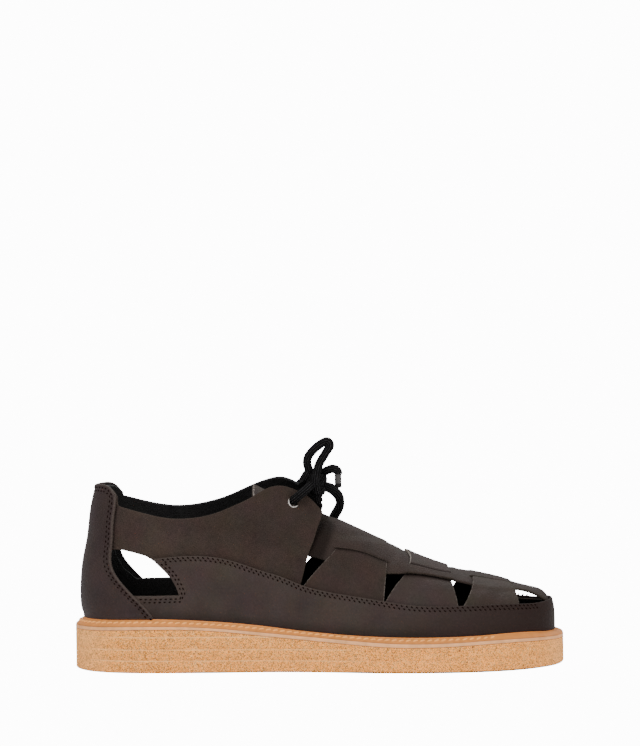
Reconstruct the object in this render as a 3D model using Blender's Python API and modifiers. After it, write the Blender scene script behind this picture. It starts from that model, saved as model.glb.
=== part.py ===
# A right shoe: a laced sandal of woven leather on a flat crepe wedge with a stitched welt.
# +X is the toe, +Y the medial side, +Z up, and the origin is under the middle of the sole.
# Tables are in millimetres; meshes are made in metres.
from functools import lru_cache

import bmesh
import bpy
import numpy as np
from mathutils import Vector

MM = 0.001
GAP = 0.3                   # clearance between pieces that touch

# Sole
WELT_WIDTH = 5.2            # from the sole's edge to the foot of the rand
WELT_INNER = 9.5            # inset of the welt's inner edge, under the wall of the upper
FOOTBED_INSET = 9.9
FOOTBED_RISE = 2.6          # footbed surface over the foot of the upper
ROUND = 56                  # points round each outline of the sole
GROOVE_DEPTH = 0.35
GROOVE_LEVELS = (7.4, 14.0, 21.5)   # glue lines between the sheets of the wedge

# Upper
LAST_INSET = 7.2            # from the sole's edge to the outside of the upper's wall
WALL = 2.0
STRAP = 1.9
WEAVE_LIFT = 0.6            # a strap rises or sinks this much where it crosses another
SLIT_HALF = 0.006           # half the width over which the step at a slit falls, in girth
RAND_THICKNESS = 1.5
COUNTER_THICKNESS = 1.9
TOE_ROLL = 16.0             # how far the crest draws back from the toe tip
MEDIAL_RISE = 5.2           # the medial window, and the edges beside it, stand this much higher
TONGUE_THICKNESS = 2.2
TONGUE_HALF_WIDTH = 19.0

# Lace
LACE_DIAMETER = 4.4
AGLET_DIAMETER = 3.4
EYELET_DIAMETER = 5.8

# The sole's edge from above, from the heel back along the lateral side to the toe and round.
soleEdge = (
    # x, y
    (-148.6, 0.0), (-144.5, -16.0), (-134.0, -28.5), (-118.0, -36.0), (-95.0, -39.5),
    (-60.0, -40.5), (-20.0, -43.5), (20.0, -49.0), (55.0, -53.0), (85.0, -52.5),
    (110.0, -46.8), (130.2, -35.4), (143.8, -19.6), (149.2, 3.0), (146.5, 22.0),
    (136.0, 38.0), (115.0, 49.5), (88.0, 54.5), (58.0, 52.5), (22.0, 44.5),
    (-18.0, 37.5), (-60.0, 35.5), (-95.0, 37.0), (-118.0, 35.0), (-134.0, 28.0),
    (-144.5, 16.0),
)

# Heights of the sole's layers along its length. Where the bottom is below 0 it is cut flat, so
# the heel and the ball of the foot both rest on the ground.
soleRows = (
    # x, bottom, top of the wedge, top of the midsole
    (-149.0, 0.1, 24.3, 26.6),
    (-128.0, -0.1, 25.1, 27.4),
    (-70.0, -0.1, 25.3, 27.2),
    (-30.0, 0.3, 21.6, 23.8),
    (7.0, 0.3, 18.1, 20.5),
    (46.0, -0.1, 15.1, 17.6),
    (84.0, -0.1, 15.6, 17.9),
    (115.0, 0.0, 16.6, 18.8),
    (149.0, 0.2, 17.0, 19.2),
)

# Cross sections of the last: the foot line, and an arch over it with its height and squareness.
# The quarters stand on a higher arch than the vamp, because the facings flare off the instep.
sectionRows = (
    # x, foot height, crest y, vamp crest, vamp squareness, quarter crest, quarter squareness
    (-142.0, 31.4, 0.0, 134.0, 3.0, 134.0, 3.0),
    (-100.0, 32.2, 0.0, 134.0, 3.0, 134.0, 3.0),
    (-60.0, 30.3, 0.5, 120.0, 2.9, 131.0, 2.6),
    (-30.0, 27.4, 1.0, 106.8, 2.7, 127.0, 2.1),
    (-12.0, 25.1, 1.7, 98.7, 2.5, 120.0, 1.75),
    (0.0, 23.9, 2.2, 93.0, 2.35, 110.0, 1.6),
    (12.0, 22.8, 2.7, 87.7, 2.3, 96.0, 1.8),
    (34.0, 21.5, 3.8, 77.2, 2.3, 77.2, 2.3),
    (56.0, 20.9, 4.8, 67.3, 2.5, 67.3, 2.5),
    (78.0, 21.0, 5.8, 58.8, 2.8, 58.8, 2.8),
    (100.0, 21.6, 6.4, 53.2, 3.2, 53.2, 3.2),
    (122.0, 22.1, 6.2, 48.5, 3.2, 48.5, 3.2),
    (142.0, 21.5, 5.0, 45.2, 3.0, 45.2, 3.0),
)

# How far the back of the heel leans forward at each height over the foot line.
heelLeanRows = (
    # height, forward
    (0.0, -0.7), (14.0, -1.4), (25.0, -0.9), (35.0, 0.4), (47.0, 2.9), (64.0, 5.1), (78.0, 8.2),
)

# Top line of the quarters: the medial collar stands higher than the lateral one.
collarRows = (
    # x, lateral z, medial z
    (-142.0, 101.5, 105.0), (-126.0, 99.4, 103.2), (-119.5, 98.0, 101.8), (-104.0, 94.5, 98.4),
    (-90.5, 91.8, 96.4), (-78.0, 91.4, 96.6), (-67.5, 92.7, 98.5), (-58.5, 95.2, 101.0),
    (-51.0, 98.2, 104.0), (-38.5, 104.0, 109.6), (-30.0, 108.6, 112.6), (-22.0, 110.0, 113.8),
    (-12.5, 107.3, 110.8), (-4.0, 102.0, 105.2), (2.0, 95.0, 98.2),
)

# Top line of the heel tab, which stands above the collar between these two stations.
heelTabRows = (
    # x, z
    (-142.5, 110.2), (-136.0, 110.7), (-130.0, 108.5), (-126.0, 105.0), (-120.0, 100.5),
)
TAB_ENDS = (-126.8, -125.0)

# Front edge of the quarter, by share of its height.
quarterFrontRows = (
    # share, x
    (0.0, -19.0), (0.37, -11.0), (0.60, -5.5), (0.75, -1.0), (1.0, 2.0),
)

# Upper edge of the rand, which stands higher along the quarter than round the forefoot.
randTopRows = (
    # x, z
    (-124.0, 66.0), (-97.0, 67.8), (-82.5, 69.0), (-67.0, 68.8), (-51.0, 65.8), (-36.0, 60.6),
    (-20.0, 55.4), (-11.0, 51.6), (8.0, 46.6), (36.0, 41.8), (54.0, 38.9), (85.0, 37.7),
    (118.0, 37.3), (133.0, 36.9), (142.0, 37.8),
)

# Front edge of the heel counter, by height.
counterFrontRows = (
    # z, x
    (31.0, -99.5), (38.0, -104.8), (45.0, -111.0), (53.0, -117.8), (62.0, -122.8), (75.0, -124.6),
    (90.0, -125.2), (106.0, -126.0), (111.0, -128.0),
)

# The window between collar strap, counter and rand, seen from the side.
windowOutline = (
    # x, z
    (-127.0, 73.9), (-117.5, 73.6), (-110.0, 71.9), (-103.0, 69.9), (-97.8, 66.8), (-92.0, 61.3),
    (-87.3, 56.0), (-84.6, 51.0), (-82.6, 46.0), (-84.5, 44.2), (-98.0, 44.0), (-114.0, 44.0),
    (-122.0, 52.5), (-127.0, 62.0),
)

# Lower edges of the vamp and the slit that the straps pass through, as shares of the girth
# from foot line (0) to crest (1). The medial edge hangs lower behind the toe.
vampRows = (
    # x, lateral edge, medial edge, slit
    (-9.0, 0.39, 0.36, 0.48), (12.0, 0.41, 0.34, 0.53), (30.0, 0.44, 0.35, 0.59),
    (42.0, 0.465, 0.36, 0.62), (55.0, 0.53, 0.42, 0.66), (70.0, 0.59, 0.46, 0.71),
    (78.0, 0.602, 0.53, 0.737), (83.0, 0.605, 0.605, 0.752), (95.0, 0.585, 0.585, 0.77),
    (108.0, 0.57, 0.57, 0.77), (120.0, 0.565, 0.565, 0.77), (131.0, 0.56, 0.56, 0.76),
    (137.5, 0.45, 0.45, 0.72), (140.5, 0.32, 0.32, 0.66),
)

# Cross straps: rear and front edge at shares of the girth, and how far back the rear edge
# lies on the medial side.
crossStraps = {
    "strap1": ((0.04, -17.0, 37.5), (0.20, -8.5, 38.7), (0.40, 3.5, 40.2), (0.53, 10.7, 40.9),
               (0.75, 15.0, 40.5), (1.0, 16.0, 40.0)),
    "strap2": ((0.04, 33.0, 84.0), (0.21, 39.7, 83.2), (0.40, 47.0, 81.6), (0.50, 51.1, 80.6),
               (0.67, 55.5, 80.0), (0.82, 56.0, 79.2), (1.0, 53.0, 77.8)),
    "strap3": ((0.04, 80.0, 121.0), (0.24, 85.9, 120.8), (0.40, 89.7, 120.4), (0.59, 92.3, 120.0),
               (0.76, 93.7, 119.0), (1.0, 94.5, 117.0)),
}
medialRear = {"strap1": 6.5, "strap2": 0.0, "strap3": 0.0}
strapIsOverSlit = {"strap1": -1, "strap2": 1, "strap3": -1}   # over (1) or under (-1) the crest

# Lace run over the throat, and the bow: points chosen along each piece.
barRoute = (
    (-12.8, -24.2, 102.8), (-10.8, -21.4, 106.4), (-8.2, -16.6, 108.9), (-5.4, -11.4, 105.4),
    (-3.0, -5.0, 102.7), (-3.0, 4.0, 102.7), (-5.4, 9.8, 107.0), (-8.4, 14.2, 112.2),
    (-11.0, 18.6, 110.6), (-13.0, 20.4, 107.0),
)
upperLoopRoute = (
    (-5.1, -2.5, 116.5), (-6.1, -3.4, 123.4), (-3.3, -4.0, 128.9), (1.4, -4.5, 133.0),
    (5.8, -5.0, 135.3), (8.0, -4.8, 133.2), (4.7, -4.0, 126.8), (2.6, -3.2, 122.4),
    (1.5, -2.5, 117.0),
)
farLoopRoute = (
    (5.0, 5.6, 110.6), (8.0, 8.2, 107.6), (11.2, 11.6, 104.8), (14.0, 16.0, 101.6),
    (14.9, 20.5, 97.8), (14.0, 25.0, 94.0), (11.4, 29.2, 90.0), (9.2, 32.6, 87.4),
    (9.4, 36.4, 88.6), (12.0, 35.2, 92.4), (14.4, 31.0, 96.4), (14.6, 26.4, 100.6),
    (12.2, 21.4, 104.4), (8.0, 15.4, 107.8), (2.8, 9.0, 109.2),
)
nearEndRoute = (
    (5.5, -2.6, 113.2), (9.0, -4.4, 117.8), (12.0, -5.0, 118.6), (13.7, -5.0, 116.4),
    (13.8, -5.0, 114.2),
)
farEndRoute = (
    (-2.4, 7.3, 112.2), (-2.2, 13.0, 114.2), (-2.4, 18.6, 112.2), (-3.0, 23.4, 106.2),
    (-3.6, 25.6, 99.6),
)
knotPlace = (-2.6, 0.2, 110.8)
knotRadii = (8.2, 7.0, 5.8)


# ---------------------------------------------------------------- curves and surfaces

def cubicThrough(rows, column=1):
    # Natural cubic spline through one column of a table, straight beyond its ends.
    knots = np.array([row[0] for row in rows], float)
    values = np.array([row[column] for row in rows], float)
    last = len(knots) - 1
    step = np.diff(knots)
    system = np.eye(last + 1)
    right = np.zeros(last + 1)
    for i in range(1, last):
        system[i, i - 1:i + 2] = step[i - 1], 2 * (step[i - 1] + step[i]), step[i]
        slopes = np.diff(values[i - 1:i + 2]) / step[i - 1:i + 1]
        right[i] = 6 * (slopes[1] - slopes[0])
    bend = np.linalg.solve(system, right)
    startSlope = (values[1] - values[0]) / step[0] - step[0] * bend[1] / 6
    endSlope = (values[-1] - values[-2]) / step[-1] + step[-1] * bend[-2] / 6

    def at(x):
        x = np.asarray(x, float)
        i = np.clip(np.searchsorted(knots, x) - 1, 0, last - 1)
        inside = np.clip(x, knots[0], knots[-1])
        before = inside - knots[i]
        after = knots[i + 1] - inside
        curved = (bend[i] * after ** 3 + bend[i + 1] * before ** 3) / (6 * step[i])
        leftPart = (values[i] / step[i] - bend[i] * step[i] / 6) * after
        rightPart = (values[i + 1] / step[i] - bend[i + 1] * step[i] / 6) * before
        beyond = (np.minimum(x - knots[0], 0) * startSlope
                  + np.maximum(x - knots[-1], 0) * endSlope)
        return curved + leftPart + rightPart + beyond

    return at


def ramp(start, end, x):
    # Smooth step from 0 at start to 1 at end.
    t = np.clip((np.asarray(x, float) - start) / (end - start), 0, 1)
    return t * t * (3 - 2 * t)


treadCurve = cubicThrough(soleRows, 1)
wedgeTop = cubicThrough(soleRows, 2)
midsoleTop = cubicThrough(soleRows, 3)
footHeight = cubicThrough(sectionRows, 1)
crestSide = cubicThrough(sectionRows, 2)
vampCrest = cubicThrough(sectionRows, 3)
vampSquareness = cubicThrough(sectionRows, 4)
quarterCrest = cubicThrough(sectionRows, 5)
quarterSquareness = cubicThrough(sectionRows, 6)
VAMP = (vampCrest, vampSquareness)
QUARTER = (quarterCrest, quarterSquareness)
heelLean = cubicThrough(heelLeanRows)
lateralCollar = cubicThrough(collarRows, 1)
medialCollar = cubicThrough(collarRows, 2)
heelTabTop = cubicThrough(heelTabRows)
quarterFront = cubicThrough(quarterFrontRows)
randTop = cubicThrough(randTopRows)
counterFront = cubicThrough(counterFrontRows)
lateralLower = cubicThrough(vampRows, 1)
medialLower = cubicThrough(vampRows, 2)
vampSlit = cubicThrough(vampRows, 3)


@lru_cache(maxsize=None)
def outlineTable(inset):
    # The sole's edge drawn in by the inset, as side distance over the angle round the foot.
    # The angle is 0 at the heel back, pi at the toe tip, and the length runs with its cosine.
    rows = soleEdge[-4:] + soleEdge + soleEdge[:5]
    edge = np.array(rows)
    run = np.concatenate([[0], np.cumsum(np.hypot(*np.diff(edge, axis=0).T))])
    samples = np.linspace(run[4], run[4 + len(soleEdge)], 1441)[:-1]
    points = np.stack([cubicThrough(tuple(zip(run, edge[:, axis])))(samples) for axis in (0, 1)], 1)
    along = np.roll(points, -1, 0) - np.roll(points, 1, 0)
    along /= np.linalg.norm(along, axis=1)[:, None]
    points = points + np.stack([-along[:, 1], along[:, 0]], 1) * inset
    points = np.roll(points, -points[:, 0].argmin(), 0)
    tip = points[:, 0].argmax()
    heel, toe = points[0, 0], points[tip, 0]
    angle = np.arccos(np.clip(1 - 2 * (points[:, 0] - heel) / (toe - heel), -1, 1))
    angle[tip + 1:] = 2 * np.pi - angle[tip + 1:]
    return heel, toe, np.append(angle, 2 * np.pi), np.append(points[:, 1], points[0, 1])


def outline(angle, inset):
    heel, toe, angles, sides = outlineTable(inset)
    angle = np.mod(angle, 2 * np.pi)
    return heel + (toe - heel) * (1 - np.cos(angle)) / 2, np.interp(angle, angles, sides)


def angleAt(x, side, inset=LAST_INSET):
    # Angle round the foot of a station on the lateral (-1) or medial (1) side.
    heel, toe, _, _ = outlineTable(inset)
    angle = np.arccos(np.clip(1 - 2 * (np.asarray(x, float) - heel) / (toe - heel), -1, 1))
    return np.where(np.asarray(side) < 0, angle, 2 * np.pi - angle)


def onLast(angle, z, *arches):
    # A point of the last at a height: super-elliptic from the foot line in to the crest. With two
    # arches it lies on the wider one.
    x, foot = outline(angle, LAST_INSET)
    low = footHeight(x)
    side = 0
    for crest, squareness in arches:
        share = np.clip((z - low) / (crest(x) - low), 0, 1)
        side = np.maximum(side, np.sqrt(1 - share ** squareness(x)))
    share = np.clip((z - low) / (vampCrest(x) - low), 0, 1)
    lean = ramp(-95, -142, x) * heelLean(z - low)
    roll = ramp(105, 141.8, x) * TOE_ROLL * (1 - np.cbrt(1 - share ** 4))
    middle = crestSide(x)
    point = np.broadcast_arrays(x + lean - roll, middle + (foot - middle) * side, z)
    return np.stack(point, -1)


def overVamp(x, girth):
    # The vamp's arch crossed from side to side: girth 0 is the lateral foot line, 1 the crest and
    # 2 the medial foot line.
    x, girth = np.broadcast_arrays(np.asarray(x, float), np.asarray(girth, float))
    low = footHeight(x)
    share = np.abs(np.sin(girth * np.pi / 2)) ** (2 / vampSquareness(x))
    return onLast(angleAt(x, np.where(girth <= 1, -1, 1)), low + (vampCrest(x) - low) * share, VAMP)


def lifted(points, height):
    # The surface moved out along its own normals.
    along, across = np.gradient(points, axis=(0, 1))
    normal = np.cross(along, across)
    normal /= np.maximum(np.linalg.norm(normal, axis=-1, keepdims=True), 1e-9)
    return points + normal * np.broadcast_to(height, points.shape[:2])[..., None]


def slanted(x, pivot, end, edge):
    # Stations beyond the pivot are stretched so that the one at end comes to lie at edge.
    beyond = (x - pivot) * np.sign(end - pivot) > 0
    return np.where(beyond, pivot + (x - pivot) * (edge - pivot) / (end - pivot), x)


# ---------------------------------------------------------------- objects

def newCollection(name):
    collection = bpy.data.collections.new(name)
    bpy.context.scene.collection.children.link(collection)
    return collection


def newMaterial(name, colour, roughness, metallic=0.0):
    material = bpy.data.materials.new(name)
    material.use_nodes = True
    shader = material.node_tree.nodes["Principled BSDF"]
    shader.inputs["Base Color"].default_value = (*colour, 1)
    shader.inputs["Roughness"].default_value = roughness
    shader.inputs["Metallic"].default_value = metallic
    return material


def addObject(name, data, collection, material):
    item = bpy.data.objects.new(name, data)
    collection.objects.link(item)
    data.materials.append(material)
    return item


def gridFaces(rows, columns, closeRows=False, closeColumns=False):
    # Quads of a grid whose vertices are numbered row by row.
    faces = []
    for r in range(rows if closeRows else rows - 1):
        for c in range(columns if closeColumns else columns - 1):
            nextRow = (r + 1) % rows
            nextColumn = (c + 1) % columns
            faces.append((r * columns + c, r * columns + nextColumn,
                          nextRow * columns + nextColumn, nextRow * columns + c))
    return faces


def ladderFaces(start, count):
    # Fills a ring of matched pairs with quads across it, and a triangle at either end.
    faces = []
    for i in range(count // 2):
        ring = [i, i + 1, (count - i - 1) % count, (count - i) % count]
        faces.append([start + k for k in dict.fromkeys(ring)])
    return faces


def meshObject(name, points, faces, collection, material, smoothAngle=40):
    mesh = bpy.data.meshes.new(name)
    mesh.from_pydata((np.asarray(points).reshape(-1, 3) * MM).tolist(), [], faces)
    work = bmesh.new()
    work.from_mesh(mesh)
    bmesh.ops.remove_doubles(work, verts=work.verts, dist=0.00001)
    bmesh.ops.recalc_face_normals(work, faces=work.faces)
    work.to_mesh(mesh)
    work.free()
    item = addObject(name, mesh, collection, material)
    mesh.shade_smooth()
    mesh.set_sharp_from_angle(angle=np.radians(smoothAngle))
    return item


def plate(name, levels, count, collection, material):
    # A solid between stacked outlines: each level is an inset and a height over x.
    angles = np.arange(count) * 2 * np.pi / count
    rings = []
    for inset, height in levels:
        x, y = outline(angles, inset)
        rings.append(np.stack([x, y, height(x)], 1))
    faces = gridFaces(len(rings), count, closeColumns=True)
    faces += ladderFaces(0, count) + ladderFaces((len(rings) - 1) * count, count)
    return meshObject(name, np.array(rings), faces, collection, material)


def ring(name, profile, count, collection, material):
    # A closed profile of insets and heights carried round the outline.
    angles = np.arange(count) * 2 * np.pi / count
    rings = []
    for inset, height in profile:
        x, y = outline(angles, inset)
        rings.append(np.stack([x, y, height(x)], 1))
    faces = gridFaces(len(rings), count, closeRows=True, closeColumns=True)
    return meshObject(name, np.array(rings), faces, collection, material)


def leather(name, points, thickness, collection, material, height=0.0):
    # A piece of leather: the outer face as a grid, given its thickness inwards.
    surface = lifted(points, height)
    faces = gridFaces(*surface.shape[:2])
    item = meshObject(name, surface, faces, collection, material)
    centre = Vector(surface.reshape(-1, 3).mean(0) * MM)
    facing = sum((face.center - centre).dot(face.normal) * face.area for face in item.data.polygons)
    if facing < 0:
        item.data.flip_normals()
    wall = item.modifiers.new("wall", "SOLIDIFY")
    wall.thickness = thickness * MM
    wall.offset = -1
    return item


def prism(name, outlinePoints, nearY, farY, collection, material):
    # A side-view outline carried across the shoe from nearY to farY, as a cutter.
    count = len(outlinePoints)
    ends = [[(x, y, z) for x, z in outlinePoints] for y in (nearY, farY)]
    faces = gridFaces(2, count, closeColumns=True)
    faces += [tuple(range(count)), tuple(range(count, 2 * count))]
    return meshObject(name, np.array(ends), faces, collection, material)


def hide(item):
    item.hide_render = True
    item.display_type = "WIRE"


def combine(target, tool, operation):
    modifier = target.modifiers.new(f"{operation.lower()} {tool.name}", "BOOLEAN")
    modifier.operation = operation
    modifier.object = tool
    modifier.solver = "EXACT"
    hide(tool)


def cord(name, route, diameter, collection, material):
    # A round cord along a smooth curve through its route, with a point every diameter and a half.
    knots = np.array(route)
    run = np.concatenate([[0], np.cumsum(np.linalg.norm(np.diff(knots, axis=0), axis=1))])
    count = max(6, int(run[-1] / (1.5 * diameter)) + 1)
    samples = np.linspace(0, run[-1], count)
    path = [cubicThrough(tuple(zip(run, knots[:, axis])))(samples) for axis in range(3)]
    curve = bpy.data.curves.new(name, "CURVE")
    curve.dimensions = "3D"
    curve.bevel_depth = diameter / 2 * MM
    curve.bevel_resolution = 2
    curve.use_fill_caps = True
    spline = curve.splines.new("POLY")
    spline.points.add(count - 1)
    for point, place in zip(spline.points, np.array(path).T):
        point.co = (*(place * MM), 1)
    return addObject(name, curve, collection, material)


# ---------------------------------------------------------------- sole

def raised(height, by):
    return lambda x: height(x) + by


def buildSole(collection, materials):
    def between(share):
        return lambda x: wedgeTop(x) - GAP / 2 - share

    soleBottom = lambda x: np.maximum(treadCurve(x), 0)
    levels = [(1.6, soleBottom), (0.5, raised(soleBottom, 0.4)), (0.0, raised(soleBottom, 1.4))]
    for i, level in enumerate(GROOVE_LEVELS):
        spare = 1.6 * (len(GROOVE_LEVELS) - i)     # room kept for the grooves above, where it is thin
        middle = lambda x, level=level, spare=spare: np.minimum(level, wedgeTop(x) - spare)
        levels += [(0.0, raised(middle, -0.45)), (GROOVE_DEPTH, middle), (0.0, raised(middle, 0.45))]
    levels += [(0.0, between(0.6)), (0.3, between(0.0))]
    plate("outsole", levels, ROUND, collection, materials["crepe"])

    plate("midsole", [
        (0.9, raised(wedgeTop, GAP / 2)), (0.15, raised(wedgeTop, 0.7)),
        (0.15, raised(midsoleTop, -0.7)), (0.9, raised(midsoleTop, -GAP / 2)),
    ], ROUND, collection, materials["band"])

    ring("welt", [
        (0.9, raised(midsoleTop, GAP / 2)), (0.4, raised(midsoleTop, 0.9)),
        (WELT_WIDTH - 0.5, raised(footHeight, -0.5)), (WELT_WIDTH, raised(footHeight, -GAP / 2)),
        (WELT_INNER, raised(footHeight, -GAP / 2)), (WELT_INNER, raised(midsoleTop, GAP / 2)),
    ], ROUND, collection, materials["welt"])

    plate("footbed", [
        (FOOTBED_INSET, raised(midsoleTop, GAP / 2)), (FOOTBED_INSET, raised(footHeight, 2.0)),
        (FOOTBED_INSET + 0.7, raised(footHeight, FOOTBED_RISE)),
    ], ROUND, collection, materials["lining"])


# ---------------------------------------------------------------- upper

def quarterTop(x, side):
    # Top line of the wall: the collar, and the heel tab behind it, which is level on both sides.
    collar = np.where(side > 0, medialCollar(x), lateralCollar(x))
    return collar + ramp(*TAB_ENDS[::-1], x) * (heelTabTop(x) - 0.8 - collar)


def quarterPoints(sideColumns, heelColumns, rows):
    # The wall from the medial facing back round the heel to the lateral facing, with a column on
    # either side of each step between collar and tab.
    end = quarterFrontRows[-1][1]
    front, stepFoot, stepTop = (float(angleAt(x, -1)) for x in (end, TAB_ENDS[1], TAB_ENDS[0]))
    along = np.linspace(stepFoot, front, sideColumns)
    angles = np.concatenate([-along[::-1], np.linspace(-stepTop, stepTop, heelColumns), along])
    side = np.where(angles < 0, 1, -1)
    station, _ = outline(angles, LAST_INSET)
    top = quarterTop(station, side)
    grid = []
    for share in np.linspace(0, 1, rows):
        x = slanted(station, -60, end, quarterFront(share))
        low = footHeight(x) + GAP / 2
        grid.append(onLast(angleAt(x, side), low + share * (top - low), QUARTER))
    return np.array(grid).transpose(1, 0, 2)


def framePoints(columns, rows):
    # The lasted margin behind the rand, from the quarter round the toe.
    start = float(angleAt(-26, -1))
    angles = np.linspace(start, 2 * np.pi - start, columns)
    x, _ = outline(angles, LAST_INSET)
    low = footHeight(x) + GAP / 2
    top = np.minimum(randTop(x) - 1.5, 50)
    grid = []
    for share in np.linspace(0, 1, rows):
        grid.append(onLast(angles, low + share * (top - low), VAMP, QUARTER))
    return np.array(grid).transpose(1, 0, 2)


def crossing(name):
    # 1 where the named strap crosses the vamp, falling to 0 either side of it.
    rows = crossStraps[name]
    rear, front = rows[3][1], rows[3][2]
    return lambda x: ramp(rear - 5, rear + 1, x) * ramp(front + 5, front - 1, x)


def vampPoints(stations, perSide):
    # The vamp with its two slits: crest strip between them and a side strip outside each.
    angles = np.linspace(float(angleAt(vampRows[0][0], -1)), np.pi, stations)
    x, _ = outline(angles, LAST_INSET)
    slit = vampSlit(x)
    halves = []
    for low in (lateralLower(x), medialLower(x)):
        half = [low, (low + slit) / 2, slit - SLIT_HALF, slit + SLIT_HALF]
        half += [slit + (1 - slit) * share for share in np.linspace(0, 1, perSide + 1)[1:-1]]
        halves.append(half)
    girth = np.array(halves[0] + [np.ones_like(x)] + [2 - column for column in halves[1][::-1]]).T
    x = np.broadcast_to(x[:, None], girth.shape)
    weave = sum(over * crossing(name)(x) for name, over in strapIsOverSlit.items())
    distance = np.minimum(girth, 2 - girth)
    height = np.where(distance < slit[:, None], weave, -weave) * WEAVE_LIFT
    return overVamp(x, girth), height


def strapPoints(name, acrossCount, alongCount):
    # A cross strap from the lateral foot line over the crest to the medial one.
    rows = crossStraps[name]
    over = strapIsOverSlit[name]
    low = rows[0][0]
    girth = np.linspace(low, 2 - low, alongCount)
    distance = np.minimum(girth, 2 - girth)
    rear, front = cubicThrough(rows, 1)(distance), cubicThrough(rows, 2)(distance)
    rear = rear - medialRear[name] * ramp(1.1, 1.6, girth)
    share = np.linspace(0, 1, acrossCount)[:, None]
    x = rear + (front - rear) * share
    lower = np.where(girth > 1, medialLower(x), lateralLower(x))
    overSide = ramp(lower - 0.12, lower - 0.02, distance)
    pastSlit = ramp(vampSlit(x) - 0.02, vampSlit(x) + 0.03, distance)
    height = -over * WEAVE_LIFT * overSide * (1 - 2 * pastSlit)
    return overVamp(x, np.broadcast_to(girth, x.shape)), height


def shifted(points, rise):
    return [(x, z + rise) for x, z in points]


def buildUpper(collection, tools, materials):
    nubuck, cutting = materials["nubuck"], materials["cutter"]
    quarter = quarterPoints(16, 11, 8)
    press = -1.0 * ramp(-25, -6, quarter[..., 0])      # the facings are drawn down on the vamp
    upper = leather("upper", quarter, WALL, collection, nubuck, press)

    frame = leather("lasted margin", framePoints(36, 3), 1.2, tools, cutting, -0.45)
    vampGrid, vampHeight = vampPoints(25, 4)
    vamp = leather("vamp", vampGrid, STRAP, tools, cutting, vampHeight)
    combine(upper, vamp, "UNION")
    for name in crossStraps:
        grid, height = strapPoints(name, 4, 23)
        combine(upper, leather(name, grid, STRAP, tools, cutting, height), "UNION")
    combine(upper, frame, "UNION")

    for label, side in (("lateral", -1), ("medial", 1)):
        outlineRows = shifted(windowOutline, MEDIAL_RISE if side > 0 else 0)
        window = prism(f"{label} window", outlineRows, 8 * side, 60 * side, tools, cutting)
        combine(upper, window, "DIFFERENCE")
        combine(upper, eyeletCutter(label, side, tools, cutting), "DIFFERENCE")
    return upper


def eyeletPlace(side):
    # Middle of the eyelet on the facing, and the direction out of the leather there.
    x = -13.5
    z = 101.0 + (MEDIAL_RISE if side > 0 else 0)

    def at(x, z):
        return onLast(angleAt(x, side), z, QUARTER)

    along, up = at(x + 1, z) - at(x - 1, z), at(x, z + 1) - at(x, z - 1)
    normal = np.cross(along, up) * -side
    return at(x, z), normal / np.linalg.norm(normal)


def eyeletCutter(label, side, tools, material):
    place, normal = eyeletPlace(side)
    bpy.ops.mesh.primitive_cylinder_add(
        vertices=20, radius=EYELET_DIAMETER / 2 * MM, depth=12 * MM, location=place * MM,
        rotation=Vector(normal).to_track_quat("Z", "Y").to_euler())
    return adopt(f"{label} eyelet hole", tools, material)


def adopt(name, collection, material):
    # Takes the primitive just added into a collection, under its own name.
    item = bpy.context.object
    item.name = name
    item.data.name = name
    for other in list(item.users_collection):
        other.objects.unlink(item)
    collection.objects.link(item)
    item.data.materials.append(material)
    item.data.shade_smooth()
    item.data.set_sharp_from_angle(angle=np.radians(40))
    return item


def counterEdge(z, side):
    return counterFront(z - np.where(side > 0, MEDIAL_RISE, 0))


def counterPoints(columns, rows):
    # The counter, from its medial front edge back round the heel to the lateral one.
    end = counterFrontRows[-1][1]
    front = float(angleAt(end, -1))
    angles = np.linspace(-front, front, columns)
    side = np.where(angles < 0, 1, -1)
    station, _ = outline(angles, LAST_INSET)
    top = heelTabTop(station)
    grid = []
    for share in np.linspace(0, 1, rows):
        guess = footHeight(station) + share * (top - footHeight(station))
        x = slanted(station, -134, end, counterEdge(guess, side))
        low = footHeight(x) + GAP / 2
        grid.append(onLast(angleAt(x, side), low + share * (top - low), QUARTER))
    return np.array(grid).transpose(1, 0, 2)


def randPoints(columns, rows):
    # The rand, from the lateral edge of the counter round the toe to the medial one.
    end = randTopRows[0][0]
    start = float(angleAt(end, -1))
    angles = np.linspace(start, 2 * np.pi - start, columns)
    side = np.where(angles < np.pi, -1, 1)
    station, _ = outline(angles, LAST_INSET)
    rise = np.where(side > 0, MEDIAL_RISE, 0) * ramp(-20, -75, station)
    top = randTop(station) + rise
    grid = []
    for share in np.linspace(0, 1, rows):
        guess = footHeight(station) + share * (top - footHeight(station))
        x = slanted(station, -86, end, counterEdge(guess, side) + 2 * GAP)
        low = footHeight(x) + GAP / 2
        grid.append(onLast(angleAt(x, side), low + share * (top - low), VAMP, QUARTER))
    return np.array(grid).transpose(1, 0, 2)


def buildOverlays(collection, tools, materials):
    leather("heel_counter", counterPoints(25, 8), COUNTER_THICKNESS, collection, materials["smooth"],
            3 * GAP + COUNTER_THICKNESS)
    rand = leather("rand", randPoints(62, 4), RAND_THICKNESS, collection, materials["smooth"],
                   2.5 * GAP + RAND_THICKNESS)
    edge = windowOutline[4:9]
    cut = list(edge) + [(-84.0, 45.2), (-134.0, 45.2), (-134.0, 84.0), (-99.5, 84.0)]
    for label, side in (("lateral", -1), ("medial", 1)):
        outlineRows = shifted(cut, MEDIAL_RISE if side > 0 else 0)
        combine(rand, prism(f"{label} rand window", outlineRows, 8 * side, 60 * side, tools,
                            materials["cutter"]), "DIFFERENCE")


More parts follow.
